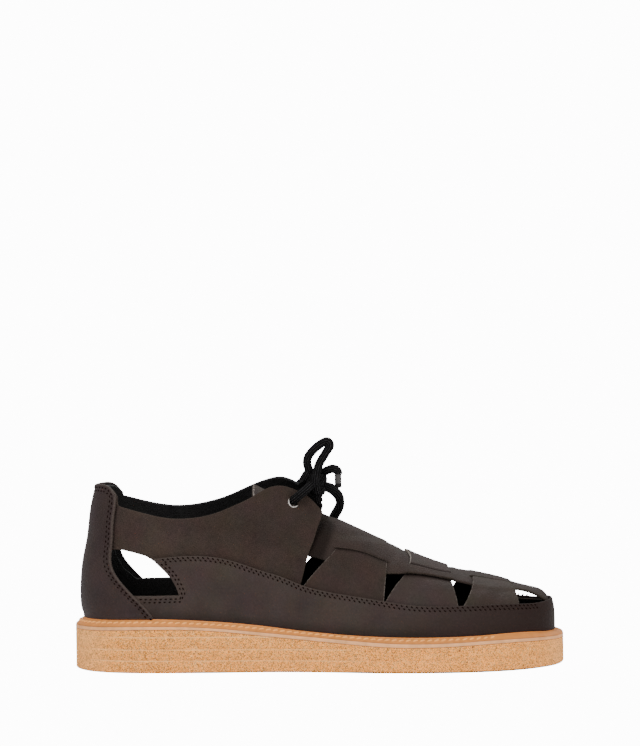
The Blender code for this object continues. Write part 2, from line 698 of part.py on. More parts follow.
def buildTongue(collection, materials):
    # The tongue carries the vamp's line on under the facings, and is cut straight at the top.
    x = np.linspace(-38.5, 4.5, 9)[:, None]
    _, lateral = outline(angleAt(x, -1), LAST_INSET)
    _, medial = outline(angleAt(x, 1), LAST_INSET)
    low = np.arccos(np.clip(TONGUE_HALF_WIDTH / (crestSide(x) - lateral), 0, 1)) * 2 / np.pi
    high = 2 - np.arccos(np.clip(TONGUE_HALF_WIDTH / (medial - crestSide(x)), 0, 1)) * 2 / np.pi
    girth = low + (high - low) * np.linspace(0, 1, 9)
    drop = STRAP + 2 * GAP - 1.9 * ramp(-14, -38, x)
    leather("tongue", overVamp(x, girth), TONGUE_THICKNESS, collection,
            materials["nubuck"], -drop)


# ---------------------------------------------------------------- lace

def aglet(name, route, length, collection, material):
    # A plastic tip in line with the end of its cord.
    end, before = Vector(route[-1]), Vector(route[-2])
    direction = (end - before).normalized()
    bpy.ops.mesh.primitive_cylinder_add(
        vertices=16, radius=AGLET_DIAMETER / 2 * MM, depth=length * MM,
        location=(end + direction * (length / 2 + GAP)) * MM,
        rotation=direction.to_track_quat("Z", "Y").to_euler())
    adopt(name, collection, material)


def buildLace(collection, materials):
    lace = materials["lace"]
    cord("lace_bar", barRoute, LACE_DIAMETER, collection, lace)
    cord("lace_loop_upper", upperLoopRoute, LACE_DIAMETER, collection, lace)
    cord("lace_loop_far", farLoopRoute, LACE_DIAMETER, collection, lace)
    cord("lace_end_near", nearEndRoute, LACE_DIAMETER, collection, lace)
    cord("lace_end_far", farEndRoute, LACE_DIAMETER, collection, lace)
    aglet("aglet_near", nearEndRoute, 8.0, collection, materials["aglet"])
    aglet("aglet_far", farEndRoute, 8.0, collection, materials["aglet"])
    bpy.ops.mesh.primitive_uv_sphere_add(segments=16, ring_count=8, radius=1,
                                         location=Vector(knotPlace) * MM)
    for vertex in bpy.context.object.data.vertices:
        vertex.co = Vector(vertex.co) * Vector(knotRadii) * MM
    adopt("lace_knot", collection, lace)


def main():
    for item in list(bpy.data.objects):
        bpy.data.objects.remove(item)
    materials = {
        "nubuck": newMaterial("nubuck", (0.050, 0.034, 0.028), 0.85),
        "smooth": newMaterial("smooth leather", (0.055, 0.036, 0.031), 0.55),
        "lining": newMaterial("lining", (0.009, 0.008, 0.008), 0.7),
        "crepe": newMaterial("crepe", (0.66, 0.38, 0.20), 0.9),
        "band": newMaterial("midsole band", (0.66, 0.39, 0.20), 0.8),
        "welt": newMaterial("welt", (0.64, 0.36, 0.19), 0.6),
        "lace": newMaterial("lace", (0.010, 0.010, 0.010), 0.8),
        "aglet": newMaterial("aglet", (0.070, 0.066, 0.064), 0.35),
        "cutter": newMaterial("cutter", (0.8, 0.2, 0.1), 0.5),
    }
    shoe = newCollection("woven sandal")
    tools = newCollection("tools")
    buildSole(shoe, materials)
    buildUpper(shoe, tools, materials)
    buildOverlays(shoe, tools, materials)
    buildTongue(shoe, materials)
    buildLace(shoe, materials)


main()
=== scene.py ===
# A right shoe: laced sandal of woven leather on a tan crepe wedge with a stitched welt.
# Tables are in millimetres, on or near the curves of the solids; meshes are made in metres.
import math
import bpy
import numpy as np
from functools import lru_cache
from mathutils import Matrix, Vector


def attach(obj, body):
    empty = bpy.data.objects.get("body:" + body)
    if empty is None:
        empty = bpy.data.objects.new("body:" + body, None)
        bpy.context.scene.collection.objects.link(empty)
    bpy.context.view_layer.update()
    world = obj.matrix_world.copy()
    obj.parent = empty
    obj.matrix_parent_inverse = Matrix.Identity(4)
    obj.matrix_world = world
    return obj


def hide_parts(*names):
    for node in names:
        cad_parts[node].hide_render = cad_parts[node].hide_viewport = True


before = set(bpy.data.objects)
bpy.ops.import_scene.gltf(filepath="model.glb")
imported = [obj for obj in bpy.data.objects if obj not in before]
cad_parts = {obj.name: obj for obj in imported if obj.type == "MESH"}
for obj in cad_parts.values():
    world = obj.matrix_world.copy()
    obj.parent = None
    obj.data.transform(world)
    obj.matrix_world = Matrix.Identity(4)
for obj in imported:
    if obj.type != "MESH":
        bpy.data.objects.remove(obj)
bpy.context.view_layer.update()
mm = 0.001


# Camera, lights and ground ------------------------------------------------------------------

view = dict(
    turn=0.5,                      # degrees round the shoe from its lateral side
    rise=1.0,                      # degrees above level
    roll=-0.73,
    lens=126.0,
    distance=1593.0,
    target=(2.5, 0.0, 177.5),
)
studio = dict(
    ambient=0.62,
    key=17.0, fill=7.0, rim=10.0,
    ground=(0.93, 0.93, 0.93),
    backdrop=13.0,                 # how bright the plain white surroundings look
)


def addCamera():
    # The camera looks level along +Y after its turn, then is raised, rolled and drawn back.
    turn, rise, roll = (math.radians(view[k]) for k in ("turn", "rise", "roll"))
    ahead = Vector((-math.sin(turn) * math.cos(rise), math.cos(turn) * math.cos(rise), -math.sin(rise)))
    right = Vector((math.cos(turn), math.sin(turn), 0))
    up = right.cross(ahead)
    across = right * math.cos(roll) + up * math.sin(roll)
    top = up * math.cos(roll) - right * math.sin(roll)
    place = Vector(view["target"]) - ahead * view["distance"]
    data = bpy.data.cameras.new("camera")
    data.lens = view["lens"]
    data.sensor_width = 36
    data.clip_end = 20
    camera = bpy.data.objects.new("camera", data)
    bpy.context.scene.collection.objects.link(camera)
    camera.matrix_world = Matrix((
        (across.x, top.x, -ahead.x, place.x * mm),
        (across.y, top.y, -ahead.y, place.y * mm),
        (across.z, top.z, -ahead.z, place.z * mm),
        (0, 0, 0, 1)))
    bpy.context.scene.camera = camera


def addLight(name, place, target, size, power, colour=(1, 1, 1)):
    data = bpy.data.lights.new(name, "AREA")
    data.shape = "RECTANGLE"
    data.size, data.size_y = size
    data.energy = power
    data.color = colour
    light = bpy.data.objects.new(name, data)
    light.location = place
    direction = Vector(target) - Vector(place)
    light.rotation_euler = direction.to_track_quat("-Z", "Y").to_euler()
    bpy.context.scene.collection.objects.link(light)


# The surroundings light the shoe softly, and are themselves seen as plain white.
def whiteFor(tree, shader):
    seen = tree.nodes.new("ShaderNodeLightPath").outputs["Is Camera Ray"]
    white = tree.nodes.new("ShaderNodeEmission")
    white.inputs["Strength"].default_value = studio["backdrop"]
    mix = tree.nodes.new("ShaderNodeMixShader")
    tree.links.new(seen, mix.inputs[0])
    tree.links.new(shader.outputs[0], mix.inputs[1])
    tree.links.new(white.outputs[0], mix.inputs[2])
    return mix.outputs[0]


def addStudio():
    world = bpy.data.worlds.new("studio")
    world.use_nodes = True
    tree = world.node_tree
    soft = tree.nodes["Background"]
    soft.inputs["Color"].default_value = (1, 1, 1, 1)
    soft.inputs["Strength"].default_value = studio["ambient"]
    tree.links.new(whiteFor(tree, soft), tree.nodes["World Output"].inputs["Surface"])
    bpy.context.scene.world = world
    addLight("key", (-0.35, -0.9, 1.15), (0, 0, 0.06), (1.2, 0.9), studio["key"])
    addLight("fill", (0.9, -0.9, 0.55), (0.03, 0, 0.05), (0.9, 0.9), studio["fill"])
    addLight("rim", (0.1, 1.0, 1.1), (0, 0, 0.08), (1.4, 0.7), studio["rim"])
    bpy.ops.mesh.primitive_plane_add(size=8, location=(0, 0, 0))
    ground = bpy.context.object
    ground.name = "ground"
    material = bpy.data.materials.new("ground")
    material.use_nodes = True
    tree = material.node_tree
    shader = tree.nodes["Principled BSDF"]
    shader.inputs["Base Color"].default_value = (*studio["ground"], 1)
    shader.inputs["Roughness"].default_value = 0.9
    tree.links.new(whiteFor(tree, shader), tree.nodes["Material Output"].inputs["Surface"])
    ground.data.materials.append(material)


addCamera()
addStudio()
print("camera, lights and ground")


# Curves and the last ------------------------------------------------------------------------

# The sole's edge from above, from the heel back along the lateral side to the toe and round.
soleEdge = (
    # x, y
    (-148.6, 0.0), (-144.5, -16.0), (-134.0, -28.5), (-118.0, -36.0), (-95.0, -39.5),
    (-60.0, -40.5), (-20.0, -43.5), (20.0, -49.0), (55.0, -53.0), (85.0, -52.5),
    (110.0, -46.8), (130.2, -35.4), (143.8, -19.6), (149.2, 3.0), (146.5, 22.0),
    (136.0, 38.0), (115.0, 49.5), (88.0, 54.5), (58.0, 52.5), (22.0, 44.5),
    (-18.0, 37.5), (-60.0, 35.5), (-95.0, 37.0), (-118.0, 35.0), (-134.0, 28.0),
    (-144.5, 16.0),
)
soleRows = (
    # x, bottom, top of the wedge, top of the midsole
    (-149.0, 0.1, 24.3, 26.6), (-128.0, -0.1, 25.1, 27.4), (-70.0, -0.1, 25.3, 27.2),
    (-30.0, 0.3, 21.6, 23.8), (7.0, 0.3, 18.1, 20.5), (46.0, -0.1, 15.1, 17.6),
    (84.0, -0.1, 15.6, 17.9), (115.0, 0.0, 16.6, 18.8), (149.0, 0.2, 15.6, 17.6),
)
sectionRows = (
    # x, foot height, crest y, vamp crest, vamp squareness, quarter crest, quarter squareness
    (-142.0, 31.4, 0.0, 134.0, 3.0, 134.0, 3.0),
    (-100.0, 32.2, 0.0, 134.0, 3.0, 134.0, 3.0),
    (-60.0, 30.3, 0.5, 120.0, 2.9, 131.0, 2.6),
    (-30.0, 27.4, 1.0, 106.8, 2.7, 127.0, 2.1),
    (-12.0, 25.1, 1.7, 98.7, 2.5, 120.0, 1.75),
    (0.0, 23.9, 2.2, 93.0, 2.35, 110.0, 1.6),
    (12.0, 22.8, 2.7, 87.7, 2.3, 96.0, 1.8),
    (34.0, 21.5, 3.8, 77.2, 2.3, 77.2, 2.3),
    (56.0, 20.9, 4.8, 67.3, 2.5, 67.3, 2.5),
    (78.0, 21.0, 5.8, 58.8, 2.8, 58.8, 2.8),
    (100.0, 21.6, 6.4, 53.2, 3.2, 53.2, 3.2),
    (122.0, 22.1, 6.2, 48.5, 3.2, 48.5, 3.2),
    (142.0, 20.3, 5.0, 45.2, 3.0, 45.2, 3.0),
)
heelLeanRows = (
    # height, forward
    (0.0, 1.2), (2.5, 0.0), (7.0, -1.1), (14.0, -1.4), (25.0, -0.9), (35.0, 0.4), (47.0, 2.9),
    (64.0, 5.1), (78.0, 8.2),
)
collarRows = (
    # x, lateral z, medial z
    (-142.0, 101.5, 105.0), (-126.0, 99.4, 103.2), (-119.5, 98.0, 101.8), (-104.0, 94.5, 98.4),
    (-90.5, 91.8, 96.4), (-78.0, 91.4, 96.6), (-67.5, 92.7, 98.5), (-58.5, 95.2, 101.0),
    (-51.0, 98.2, 104.0), (-38.5, 104.0, 109.6), (-30.0, 108.6, 112.6), (-22.0, 110.0, 113.8),
    (-12.5, 107.5, 110.8), (-4.0, 102.7, 105.2), (2.0, 96.4, 98.8),
)
heelTabRows = (
    # x, z
    (-142.5, 110.2), (-136.0, 110.7), (-130.0, 108.5), (-126.0, 105.0), (-120.0, 100.5),
)
quarterFrontRows = (
    # share of the height, x
    (0.0, -19.5), (0.40, -10.3), (0.53, -7.9), (0.644, -5.5), (0.75, -2.4), (0.83, -0.5),
    (0.91, 1.9), (1.0, 4.2),
)
randTopRows = (
    # x, z
    (-124.0, 66.0), (-97.0, 67.8), (-82.5, 69.0), (-67.0, 68.8), (-51.0, 65.8), (-36.0, 60.6),
    (-20.0, 55.4), (-11.0, 51.6), (8.0, 46.6), (36.0, 41.8), (54.0, 38.9), (85.0, 37.7),
    (118.0, 37.3), (133.0, 36.9), (142.0, 37.8),
)
counterFrontRows = (
    # z, x
    (31.0, -97.9), (38.0, -103.4), (45.0, -109.9), (53.0, -117.0), (62.0, -122.8), (75.0, -124.6),
    (90.0, -125.2), (106.0, -126.0), (111.0, -128.0),
)
windowSill = 45.2
windowRows = (
    # x, z: the window beside the heel, from its rear top corner forward and round
    (-127.0, 73.9), (-117.5, 73.6), (-110.0, 71.9), (-103.0, 69.9), (-97.8, 66.8), (-92.0, 61.3),
    (-87.3, 56.0), (-84.6, 51.0), (-82.6, 45.6), (-98.0, windowSill), (-114.0, windowSill),
    (-122.0, 52.5), (-127.0, 62.0),
)
vampRows = (
    # x, lateral edge, medial edge, slit, as shares of the girth from foot line (0) to crest (1)
    (-9.0, 0.39, 0.36, 0.48), (12.0, 0.41, 0.34, 0.53), (30.0, 0.44, 0.35, 0.585),
    (42.0, 0.465, 0.36, 0.58), (55.0, 0.53, 0.42, 0.64), (70.0, 0.59, 0.46, 0.68),
    (78.0, 0.602, 0.53, 0.705), (83.0, 0.605, 0.60, 0.73), (95.0, 0.585, 0.585, 0.775),
    (108.0, 0.595, 0.585, 0.795), (120.0, 0.65, 0.61, 0.825), (131.0, 0.64, 0.60, 0.78),
    (137.5, 0.48, 0.48, 0.74), (140.5, 0.33, 0.36, 0.68),
)
last = dict(
    inset=7.2,                     # from the sole's edge to the outside of the upper's wall
    toeRoll=16.0,                  # how far the crest draws back from the toe tip
    medialRise=5.2,                # the medial window, and the edges beside it, stand this much higher
)


# A natural cubic spline through one column of a table, straight beyond its ends.
def curveThrough(rows, column=1):
    knots = np.array([row[0] for row in rows], float)
    values = np.array([row[column] for row in rows], float)
    end = len(knots) - 1
    step = np.diff(knots)
    system = np.eye(end + 1)
    right = np.zeros(end + 1)
    for i in range(1, end):
        system[i, i - 1:i + 2] = step[i - 1], 2 * (step[i - 1] + step[i]), step[i]
        slopes = np.diff(values[i - 1:i + 2]) / step[i - 1:i + 1]
        right[i] = 6 * (slopes[1] - slopes[0])
    bend = np.linalg.solve(system, right)
    startSlope = (values[1] - values[0]) / step[0] - step[0] * bend[1] / 6
    endSlope = (values[-1] - values[-2]) / step[-1] + step[-1] * bend[-2] / 6

    def at(x):
        x = np.asarray(x, float)
        i = np.clip(np.searchsorted(knots, x) - 1, 0, end - 1)
        inside = np.clip(x, knots[0], knots[-1])
        before, after = inside - knots[i], knots[i + 1] - inside
        curved = (bend[i] * after ** 3 + bend[i + 1] * before ** 3) / (6 * step[i])
        leftPart = (values[i] / step[i] - bend[i] * step[i] / 6) * after
        rightPart = (values[i + 1] / step[i] - bend[i + 1] * step[i] / 6) * before
        return (curved + leftPart + rightPart + np.minimum(x - knots[0], 0) * startSlope
                + np.maximum(x - knots[-1], 0) * endSlope)

    return at


# A smooth step from 0 at start to 1 at end: three times the square less twice the cube.
def ramp(start, end, x):
    t = np.clip((np.asarray(x, float) - start) / (end - start), 0, 1)
    return t * t * (3 - 2 * t)


soleBottom = lambda x, curve=curveThrough(soleRows, 1): np.maximum(curve(x), 0)
wedgeTop = curveThrough(soleRows, 2)
midsoleTop = curveThrough(soleRows, 3)
footHeight = curveThrough(sectionRows, 1)
crestSide = curveThrough(sectionRows, 2)
vampCrest = curveThrough(sectionRows, 3)
vampArch = (vampCrest, curveThrough(sectionRows, 4))
quarterArch = (curveThrough(sectionRows, 5), curveThrough(sectionRows, 6))
heelLean = curveThrough(heelLeanRows)
lateralCollar = curveThrough(collarRows, 1)
medialCollar = curveThrough(collarRows, 2)
heelTabTop = curveThrough(heelTabRows)
quarterFront = curveThrough(quarterFrontRows)
randTop = curveThrough(randTopRows)
counterFront = curveThrough(counterFrontRows)
lateralLower = curveThrough(vampRows, 1)
medialLower = curveThrough(vampRows, 2)
vampSlit = curveThrough(vampRows, 3)


# The sole's edge drawn in along its normals by an inset, as side distance over an angle that is
# 0 at the heel back and pi at the toe tip, the length running with its cosine.
@lru_cache(maxsize=None)
def edgeTable(inset):
    edge = np.array(soleEdge[-4:] + soleEdge + soleEdge[:5])
    run = np.concatenate([[0], np.cumsum(np.hypot(*np.diff(edge, axis=0).T))])
    samples = np.linspace(run[4], run[4 + len(soleEdge)], 2881)[:-1]
    points = np.stack([curveThrough(tuple(zip(run, edge[:, axis])))(samples) for axis in (0, 1)], 1)
    along = np.roll(points, -1, 0) - np.roll(points, 1, 0)
    along /= np.linalg.norm(along, axis=1)[:, None]
    points = points + np.stack([-along[:, 1], along[:, 0]], 1) * inset
    points = np.roll(points, -points[:, 0].argmin(), 0)
    tip = points[:, 0].argmax()
    heel, toe = points[0, 0], points[tip, 0]
    angle = np.arccos(np.clip(1 - 2 * (points[:, 0] - heel) / (toe - heel), -1, 1))
    angle[tip + 1:] = 2 * np.pi - angle[tip + 1:]
    steps = np.hypot(*np.diff(points, axis=0, append=points[:1]).T)
    return heel, toe, np.append(angle, 2 * np.pi), np.append(points[:, 1], points[0, 1]), np.append(
        0, np.cumsum(steps))


def edgeAt(angle, inset):
    heel, toe, angles, sides, _ = edgeTable(inset)
    angle = np.mod(angle, 2 * np.pi)
    return heel + (toe - heel) * (1 - np.cos(angle)) / 2, np.interp(angle, angles, sides)


# Angle round the foot of a station x, on the lateral (-1) or the medial (1) side.
def angleAt(x, side, inset=last["inset"]):
    heel, toe = edgeTable(inset)[:2]
    angle = np.arccos(np.clip(1 - 2 * (np.asarray(x, float) - heel) / (toe - heel), -1, 1))
    return np.where(np.asarray(side) < 0, angle, 2 * np.pi - angle)


# Angle of a run measured along the wall's foot from the heel back: forward on the lateral side,
# negative on the medial side.
def angleOfRun(run, inset=last["inset"]):
    _, _, angles, _, runs = edgeTable(inset)
    return np.interp(np.mod(run, runs[-1]), runs, angles)


def runOfAngle(angle, inset=last["inset"]):
    _, _, angles, _, runs = edgeTable(inset)
    return np.interp(np.mod(angle, 2 * np.pi), angles, runs)


wallLength = edgeTable(last["inset"])[4][-1]


def runAt(x, side):
    run = runOfAngle(angleAt(x, side))
    return np.where(np.asarray(side) < 0, run, run - wallLength)


# A point of the last at a height: in from the foot line by a super-ellipse, its side being the
# root of one less the height's share to the squareness. With two arches it lies on the wider.
def onLast(angle, z, *arches):
    x, foot = edgeAt(angle, last["inset"])
    low = footHeight(x)
    side = 0
    for crest, squareness in arches:
        share = np.clip((z - low) / (crest(x) - low), 0, 1)
        side = np.maximum(side, np.sqrt(1 - share ** squareness(x)))
    share = np.clip((z - low) / (vampCrest(x) - low), 0, 1)
    lean = ramp(-95, -142, x) * heelLean(z - low)
    roll = ramp(105, 141.8, x) * last["toeRoll"] * (1 - np.cbrt(1 - share ** 4))
    middle = crestSide(x)
    return np.stack(np.broadcast_arrays(x + lean - roll, middle + (foot - middle) * side, z), -1)


# The vamp's arch crossed from side to side: girth 0 is the lateral foot line, 1 the crest and 2
# the medial foot line.
def overVamp(x, girth):
    x, girth = np.broadcast_arrays(np.asarray(x, float), np.asarray(girth, float))
    low = footHeight(x)
    share = np.abs(np.sin(girth * np.pi / 2)) ** (2 / vampArch[1](x))
    return onLast(angleAt(x, np.where(girth <= 1, -1, 1)), low + (vampCrest(x) - low) * share, vampArch)


def sideOf(run):
    return np.where(np.mod(run, wallLength) < runOfAngle(np.pi), -1, 1)


def stationOf(run):
    return edgeAt(angleOfRun(run), last["inset"])[0]


def collarAt(x, side):
    return np.where(side > 0, medialCollar(x), lateralCollar(x))


# Mesh tools ---------------------------------------------------------------------------------

# Puts points (mm) and faces into a mesh piece. faceSets are arrays of corners, one array for each
# number of corners; slots give each face's material.
def addPiece(name, points, faceSets, materials, slots=None, uv=None, values=None):
    corners = np.concatenate([faces.ravel() for faces in faceSets])
    totals = np.concatenate([np.full(len(faces), faces.shape[1]) for faces in faceSets])
    mesh = bpy.data.meshes.new(name)
    mesh.vertices.add(len(points))
    mesh.vertices.foreach_set("co", (np.asarray(points) * mm).astype(np.float32).ravel())
    mesh.loops.add(len(corners))
    mesh.loops.foreach_set("vertex_index", corners.astype(np.int32))
    mesh.polygons.add(len(totals))
    mesh.polygons.foreach_set("loop_start", (np.cumsum(totals) - totals).astype(np.int32))
    for material in materials:
        mesh.materials.append(material)
    if slots is not None:
        mesh.polygons.foreach_set("material_index", slots.astype(np.int32))
    mesh.update(calc_edges=True)
    if uv is not None:
        layer = mesh.uv_layers.new(name="UVMap")
        layer.data.foreach_set("uv", (np.asarray(uv)[corners] * mm).astype(np.float32).ravel())
    for key, value in (values or {}).items():
        mesh.attributes.new(key, "FLOAT", "POINT").data.foreach_set("value", value.astype(np.float32))
    mesh.validate()
    mesh.shade_smooth()
    piece = bpy.data.objects.new(name, mesh)
    bpy.context.scene.collection.objects.link(piece)
    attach(piece, "root")
    return piece


# Quads of a grid of rows by columns, numbered row by row.
def gridQuads(rows, columns, closeRows=False, closeColumns=False):
    r = np.arange(rows if closeRows else rows - 1)[:, None]
    c = np.arange(columns if closeColumns else columns - 1)[None, :]
    nextRow, nextColumn = (r + 1) % rows, (c + 1) % columns
    return np.stack(np.broadcast_arrays(r * columns + c, nextRow * columns + c,
                                        nextRow * columns + nextColumn, r * columns + nextColumn),
                    -1).reshape(-1, 4)


# A grid cut to where inside(u, v) is positive: whole triangles are kept, and those that cross the
# edge are cut where the straight line between their corners' values passes zero.
def trimmedGrid(u, v, inside):
    uu, vv = (grid.ravel() for grid in np.meshgrid(u, v, indexing="ij"))
    value = inside(uu, vv)
    value = np.where(np.abs(value) < 0.03, 0.0, value)
    total = len(uu)
    index = np.arange(total).reshape(len(u), len(v))
    a, b, c, d = index[:-1, :-1], index[1:, :-1], index[1:, 1:], index[:-1, 1:]
    triangles = np.concatenate([np.stack([a, b, c], -1), np.stack([a, c, d], -1)]).reshape(-1, 3)
    keep = value[triangles] >= 0
    count = keep.sum(1)

    def firstIs(rows, wanted):
        start = (keep[rows] == wanted).argmax(1)
        return np.take_along_axis(triangles[rows], (start[:, None] + np.arange(3)) % 3, 1)

    two = firstIs(np.nonzero(count == 2)[0], False)      # one corner outside, put first
    one = firstIs(np.nonzero(count == 1)[0], True)       # one corner inside, put first
    pairs = np.concatenate([two[:, [0, 1]], two[:, [0, 2]], one[:, [0, 1]], one[:, [0, 2]]])
    pairs = np.sort(pairs, 1)
    _, first, place = np.unique(pairs[:, 0] * total + pairs[:, 1], return_index=True, return_inverse=True)
    start, end = pairs[first, 0], pairs[first, 1]
    share = value[start] / (value[start] - value[end])
    uu = np.append(uu, uu[start] + (uu[end] - uu[start]) * share)
    vv = np.append(vv, vv[start] + (vv[end] - vv[start]) * share)
    cut = place.reshape(-1) + total
    n, m = len(two), len(one)
    c1, c2, c3, c4 = cut[:n], cut[n:2 * n], cut[2 * n:2 * n + m], cut[2 * n + m:]
    faces = np.concatenate([
        triangles[count == 3], np.stack([c1, two[:, 1], two[:, 2]], 1),
        np.stack([c1, two[:, 2], c2], 1), np.stack([one[:, 0], c3, c4], 1)])
    # Corners that fall on one spot are made one, and faces that collapse go.
    spots = np.round(np.stack([uu, vv], 1) / 1e-7).astype(np.int64)
    _, first, place = np.unique(spots, axis=0, return_index=True, return_inverse=True)
    faces = place.reshape(-1)[faces]
    faces = faces[(faces[:, 0] != faces[:, 1]) & (faces[:, 1] != faces[:, 2]) & (faces[:, 0] != faces[:, 2])]
    used, faces = np.unique(faces, return_inverse=True)
    return uu[first][used], vv[first][used], faces.reshape(-1, 3)


# For a grid that isn't cut: well inside at every spot.
def everywhere(u, v):
    return np.full(len(u), 9.0)


# Normals of a surface of two parameters: the cross product of its two slopes.
def normalsOf(surface, u, v, stepU, stepV, flip):
    normal = np.cross(surface(u + stepU, v) - surface(u - stepU, v),
                      surface(u, v + stepV) - surface(u, v - stepV))
    normal /= np.maximum(np.linalg.norm(normal, axis=-1, keepdims=True), 1e-12)
    return -normal if flip else normal


# A leather sheet with a rounded rim. The outer face is the surface moved out by a height, the
# inner face lies a thickness under it, and the rim between them is a half ellipse: down by half
# the thickness times one less the cosine, and out by the roundness times the sine. The sheet keeps
# each spot's distance to its edge and, if given, its shade, for the leather's colour.
def leatherSheet(name, surface, grid, steps, flip, materials, thickness, height=0.0, roundness=0.5,
                 rimRings=3, uv=None, edge=None, shade=None):
    u, v, faces = grid
    normal = normalsOf(surface, u, v, *steps, flip)
    points = surface(u, v)
    lift = height(u, v) if callable(height) else np.full(len(u), float(height))
    if flip:
        faces = faces[:, ::-1]
    outer = points + normal * lift[:, None]
    depth = thickness(u, v) if callable(thickness) else np.full(len(u), float(thickness))
    inner = outer - normal * depth[:, None]
    count = len(outer)
    # Rim: edges used by one face only, walked the way the faces turn.
    directed = np.concatenate([faces[:, [0, 1]], faces[:, [1, 2]], faces[:, [2, 0]]])
    forward, backward = directed[:, 0] * count + directed[:, 1], directed[:, 1] * count + directed[:, 0]
    border = directed[~np.isin(forward, backward)]
    along = outer[border[:, 1]] - outer[border[:, 0]]
    away = np.cross(along, normal[border[:, 0]])
    out = np.zeros((count, 3))
    np.add.at(out, border[:, 0], away)
    np.add.at(out, border[:, 1], away)
    out /= np.maximum(np.linalg.norm(out, axis=1, keepdims=True), 1e-9)
    rim = np.unique(border)
    seat = np.zeros(count, int)
    seat[rim] = np.arange(len(rim))
    rings = [outer[rim]]
    for k in range(1, rimRings + 1):
        turn = np.pi * k / (rimRings + 1)
        rings.append(outer[rim] - normal[rim] * (depth[rim] / 2 * (1 - np.cos(turn)))[:, None]
                     + out[rim] * roundness * np.sin(turn))
    rings.append(inner[rim])
    allPoints = np.concatenate([outer, inner] + rings[1:-1])
    levels = [rim] + [2 * count + k * len(rim) + np.arange(len(rim)) for k in range(rimRings)] + [rim + count]
    quads = []
    for top, low in zip(levels[:-1], levels[1:]):
        a, b = seat[border[:, 0]], seat[border[:, 1]]
        quads.append(np.stack([top[b], top[a], low[a], low[b]], 1))
    quads = np.concatenate(quads)
    faceSets = [np.concatenate([faces, faces[:, ::-1] + count]), quads]
    slots = np.concatenate([np.zeros(len(faces)), np.full(len(faces), 2), np.full(len(quads), 1)])
    flat = np.stack([u, v], 1) if uv is None else np.stack(uv(u, v), 1)
    allUv = np.concatenate([flat, flat] + [flat[rim]] * rimRings)
    distance = np.full(count, 20.0) if edge is None else edge(u, v)
    values = {"edgeDistance": np.concatenate([distance, distance] + [distance[rim]] * rimRings)}
    if shade is not None:
        dark = shade(u, v)
        values["shade"] = np.concatenate([dark, dark] + [dark[rim]] * rimRings)
    return addPiece(name, allPoints, faceSets, materials, slots, allUv, values)


# Gives the rim faces whose centres (mm) pass a test another material.
def rimLook(piece, test, material):
    faces = piece.data.polygons
    centre, slot = np.empty(len(faces) * 3, np.float32), np.empty(len(faces), np.int32)
    faces.foreach_get("center", centre)
    faces.foreach_get("material_index", slot)
    slot[(slot == 1) & test(centre.reshape(-1, 3) / mm)] = len(piece.data.materials)
    piece.data.materials.append(material)
    faces.foreach_set("material_index", slot)


# Signed distance to a closed outline in the plane, positive inside: the least distance to its
# sides, with the sign of how often a level ray crosses them.
def outlineDistance(outline):
    start = np.asarray(outline, float)
    end = np.roll(start, -1, 0)
    side = end - start
    length2 = np.maximum((side ** 2).sum(1), 1e-12)

    def at(u, v):
        result = np.empty(len(u))
        for k in range(0, len(u), 8192):
            p = np.stack([u[k:k + 8192], v[k:k + 8192]], 1)[:, None]
            along = np.clip(((p - start) * side).sum(2) / length2, 0, 1)
            gap = np.sqrt(((start + side * along[..., None] - p) ** 2).sum(2).min(1))
            spans = (start[:, 1] > p[..., 1]) != (end[:, 1] > p[..., 1])
            rise = np.where(np.abs(side[:, 1]) < 1e-12, 1e-12, side[:, 1])
            crossing = start[:, 0] + (p[..., 1] - start[:, 1]) / rise * side[:, 0]
            inside = (spans & (crossing > p[..., 0])).sum(1) % 2 == 1
            result[k:k + 8192] = np.where(inside, gap, -gap)
        return result

    return at


def runAlong(points):
    return np.concatenate([[0], np.cumsum(np.linalg.norm(np.diff(points, axis=0), axis=1))])


# A smooth path through points: a spline through each coordinate over the distance run.
def smoothPath(points, count):
    points = np.asarray(points, float)
    run = runAlong(points)
    samples = np.linspace(0, run[-1], count)
    return np.stack([curveThrough(tuple(zip(run, points[:, k])))(samples) for k in range(3)], 1)


print("curves and mesh tools")


# Materials ----------------------------------------------------------------------------------

# Adds a shader node; inputs are plain values or the sockets of other nodes.
def addNode(tree, kind, inputs=None, **settings):
    made = tree.nodes.new(kind)
    for key, value in settings.items():
        setattr(made, key, value)
    for key, value in (inputs or {}).items():
        socket = made.inputs[key]
        if isinstance(value, bpy.types.NodeSocket):
            tree.links.new(value, socket)
        else:
            socket.default_value = value
    return made


def newGroup(name, inputs, outputs):
    group = bpy.data.node_groups.new(name, "ShaderNodeTree")
    for label, kind in inputs:
        group.interface.new_socket(label, in_out="INPUT", socket_type="NodeSocket" + kind)
    for label, kind in outputs:
        group.interface.new_socket(label, in_out="OUTPUT", socket_type="NodeSocket" + kind)
    return group, group.nodes.new("NodeGroupInput").outputs, group.nodes.new("NodeGroupOutput").inputs


def noise(tree, vector, scale, detail=3.0, rough=0.55):
    return addNode(tree, "ShaderNodeTexNoise", {"Vector": vector, "Scale": scale, "Detail": detail,
                                                "Roughness": rough}).outputs["Fac"]


def mapped(tree, value, low, high, toLow=0.0, toHigh=1.0, smooth=False):
    return addNode(tree, "ShaderNodeMapRange", {
        "Value": value, "From Min": low, "From Max": high, "To Min": toLow, "To Max": toHigh},
        interpolation_type="SMOOTHSTEP" if smooth else "LINEAR").outputs["Result"]


def maths(tree, operation, a, b=0.0):
    return addNode(tree, "ShaderNodeMath", {0: a, 1: b}, operation=operation).outputs[0]


def mixed(tree, share, a, b):
    return addNode(tree, "ShaderNodeMix", {0: share, 6: a, 7: b}, data_type="RGBA").outputs[2]


def vectorMaths(tree, operation, inputs):
    return addNode(tree, "ShaderNodeVectorMath", inputs, operation=operation).outputs["Vector"]


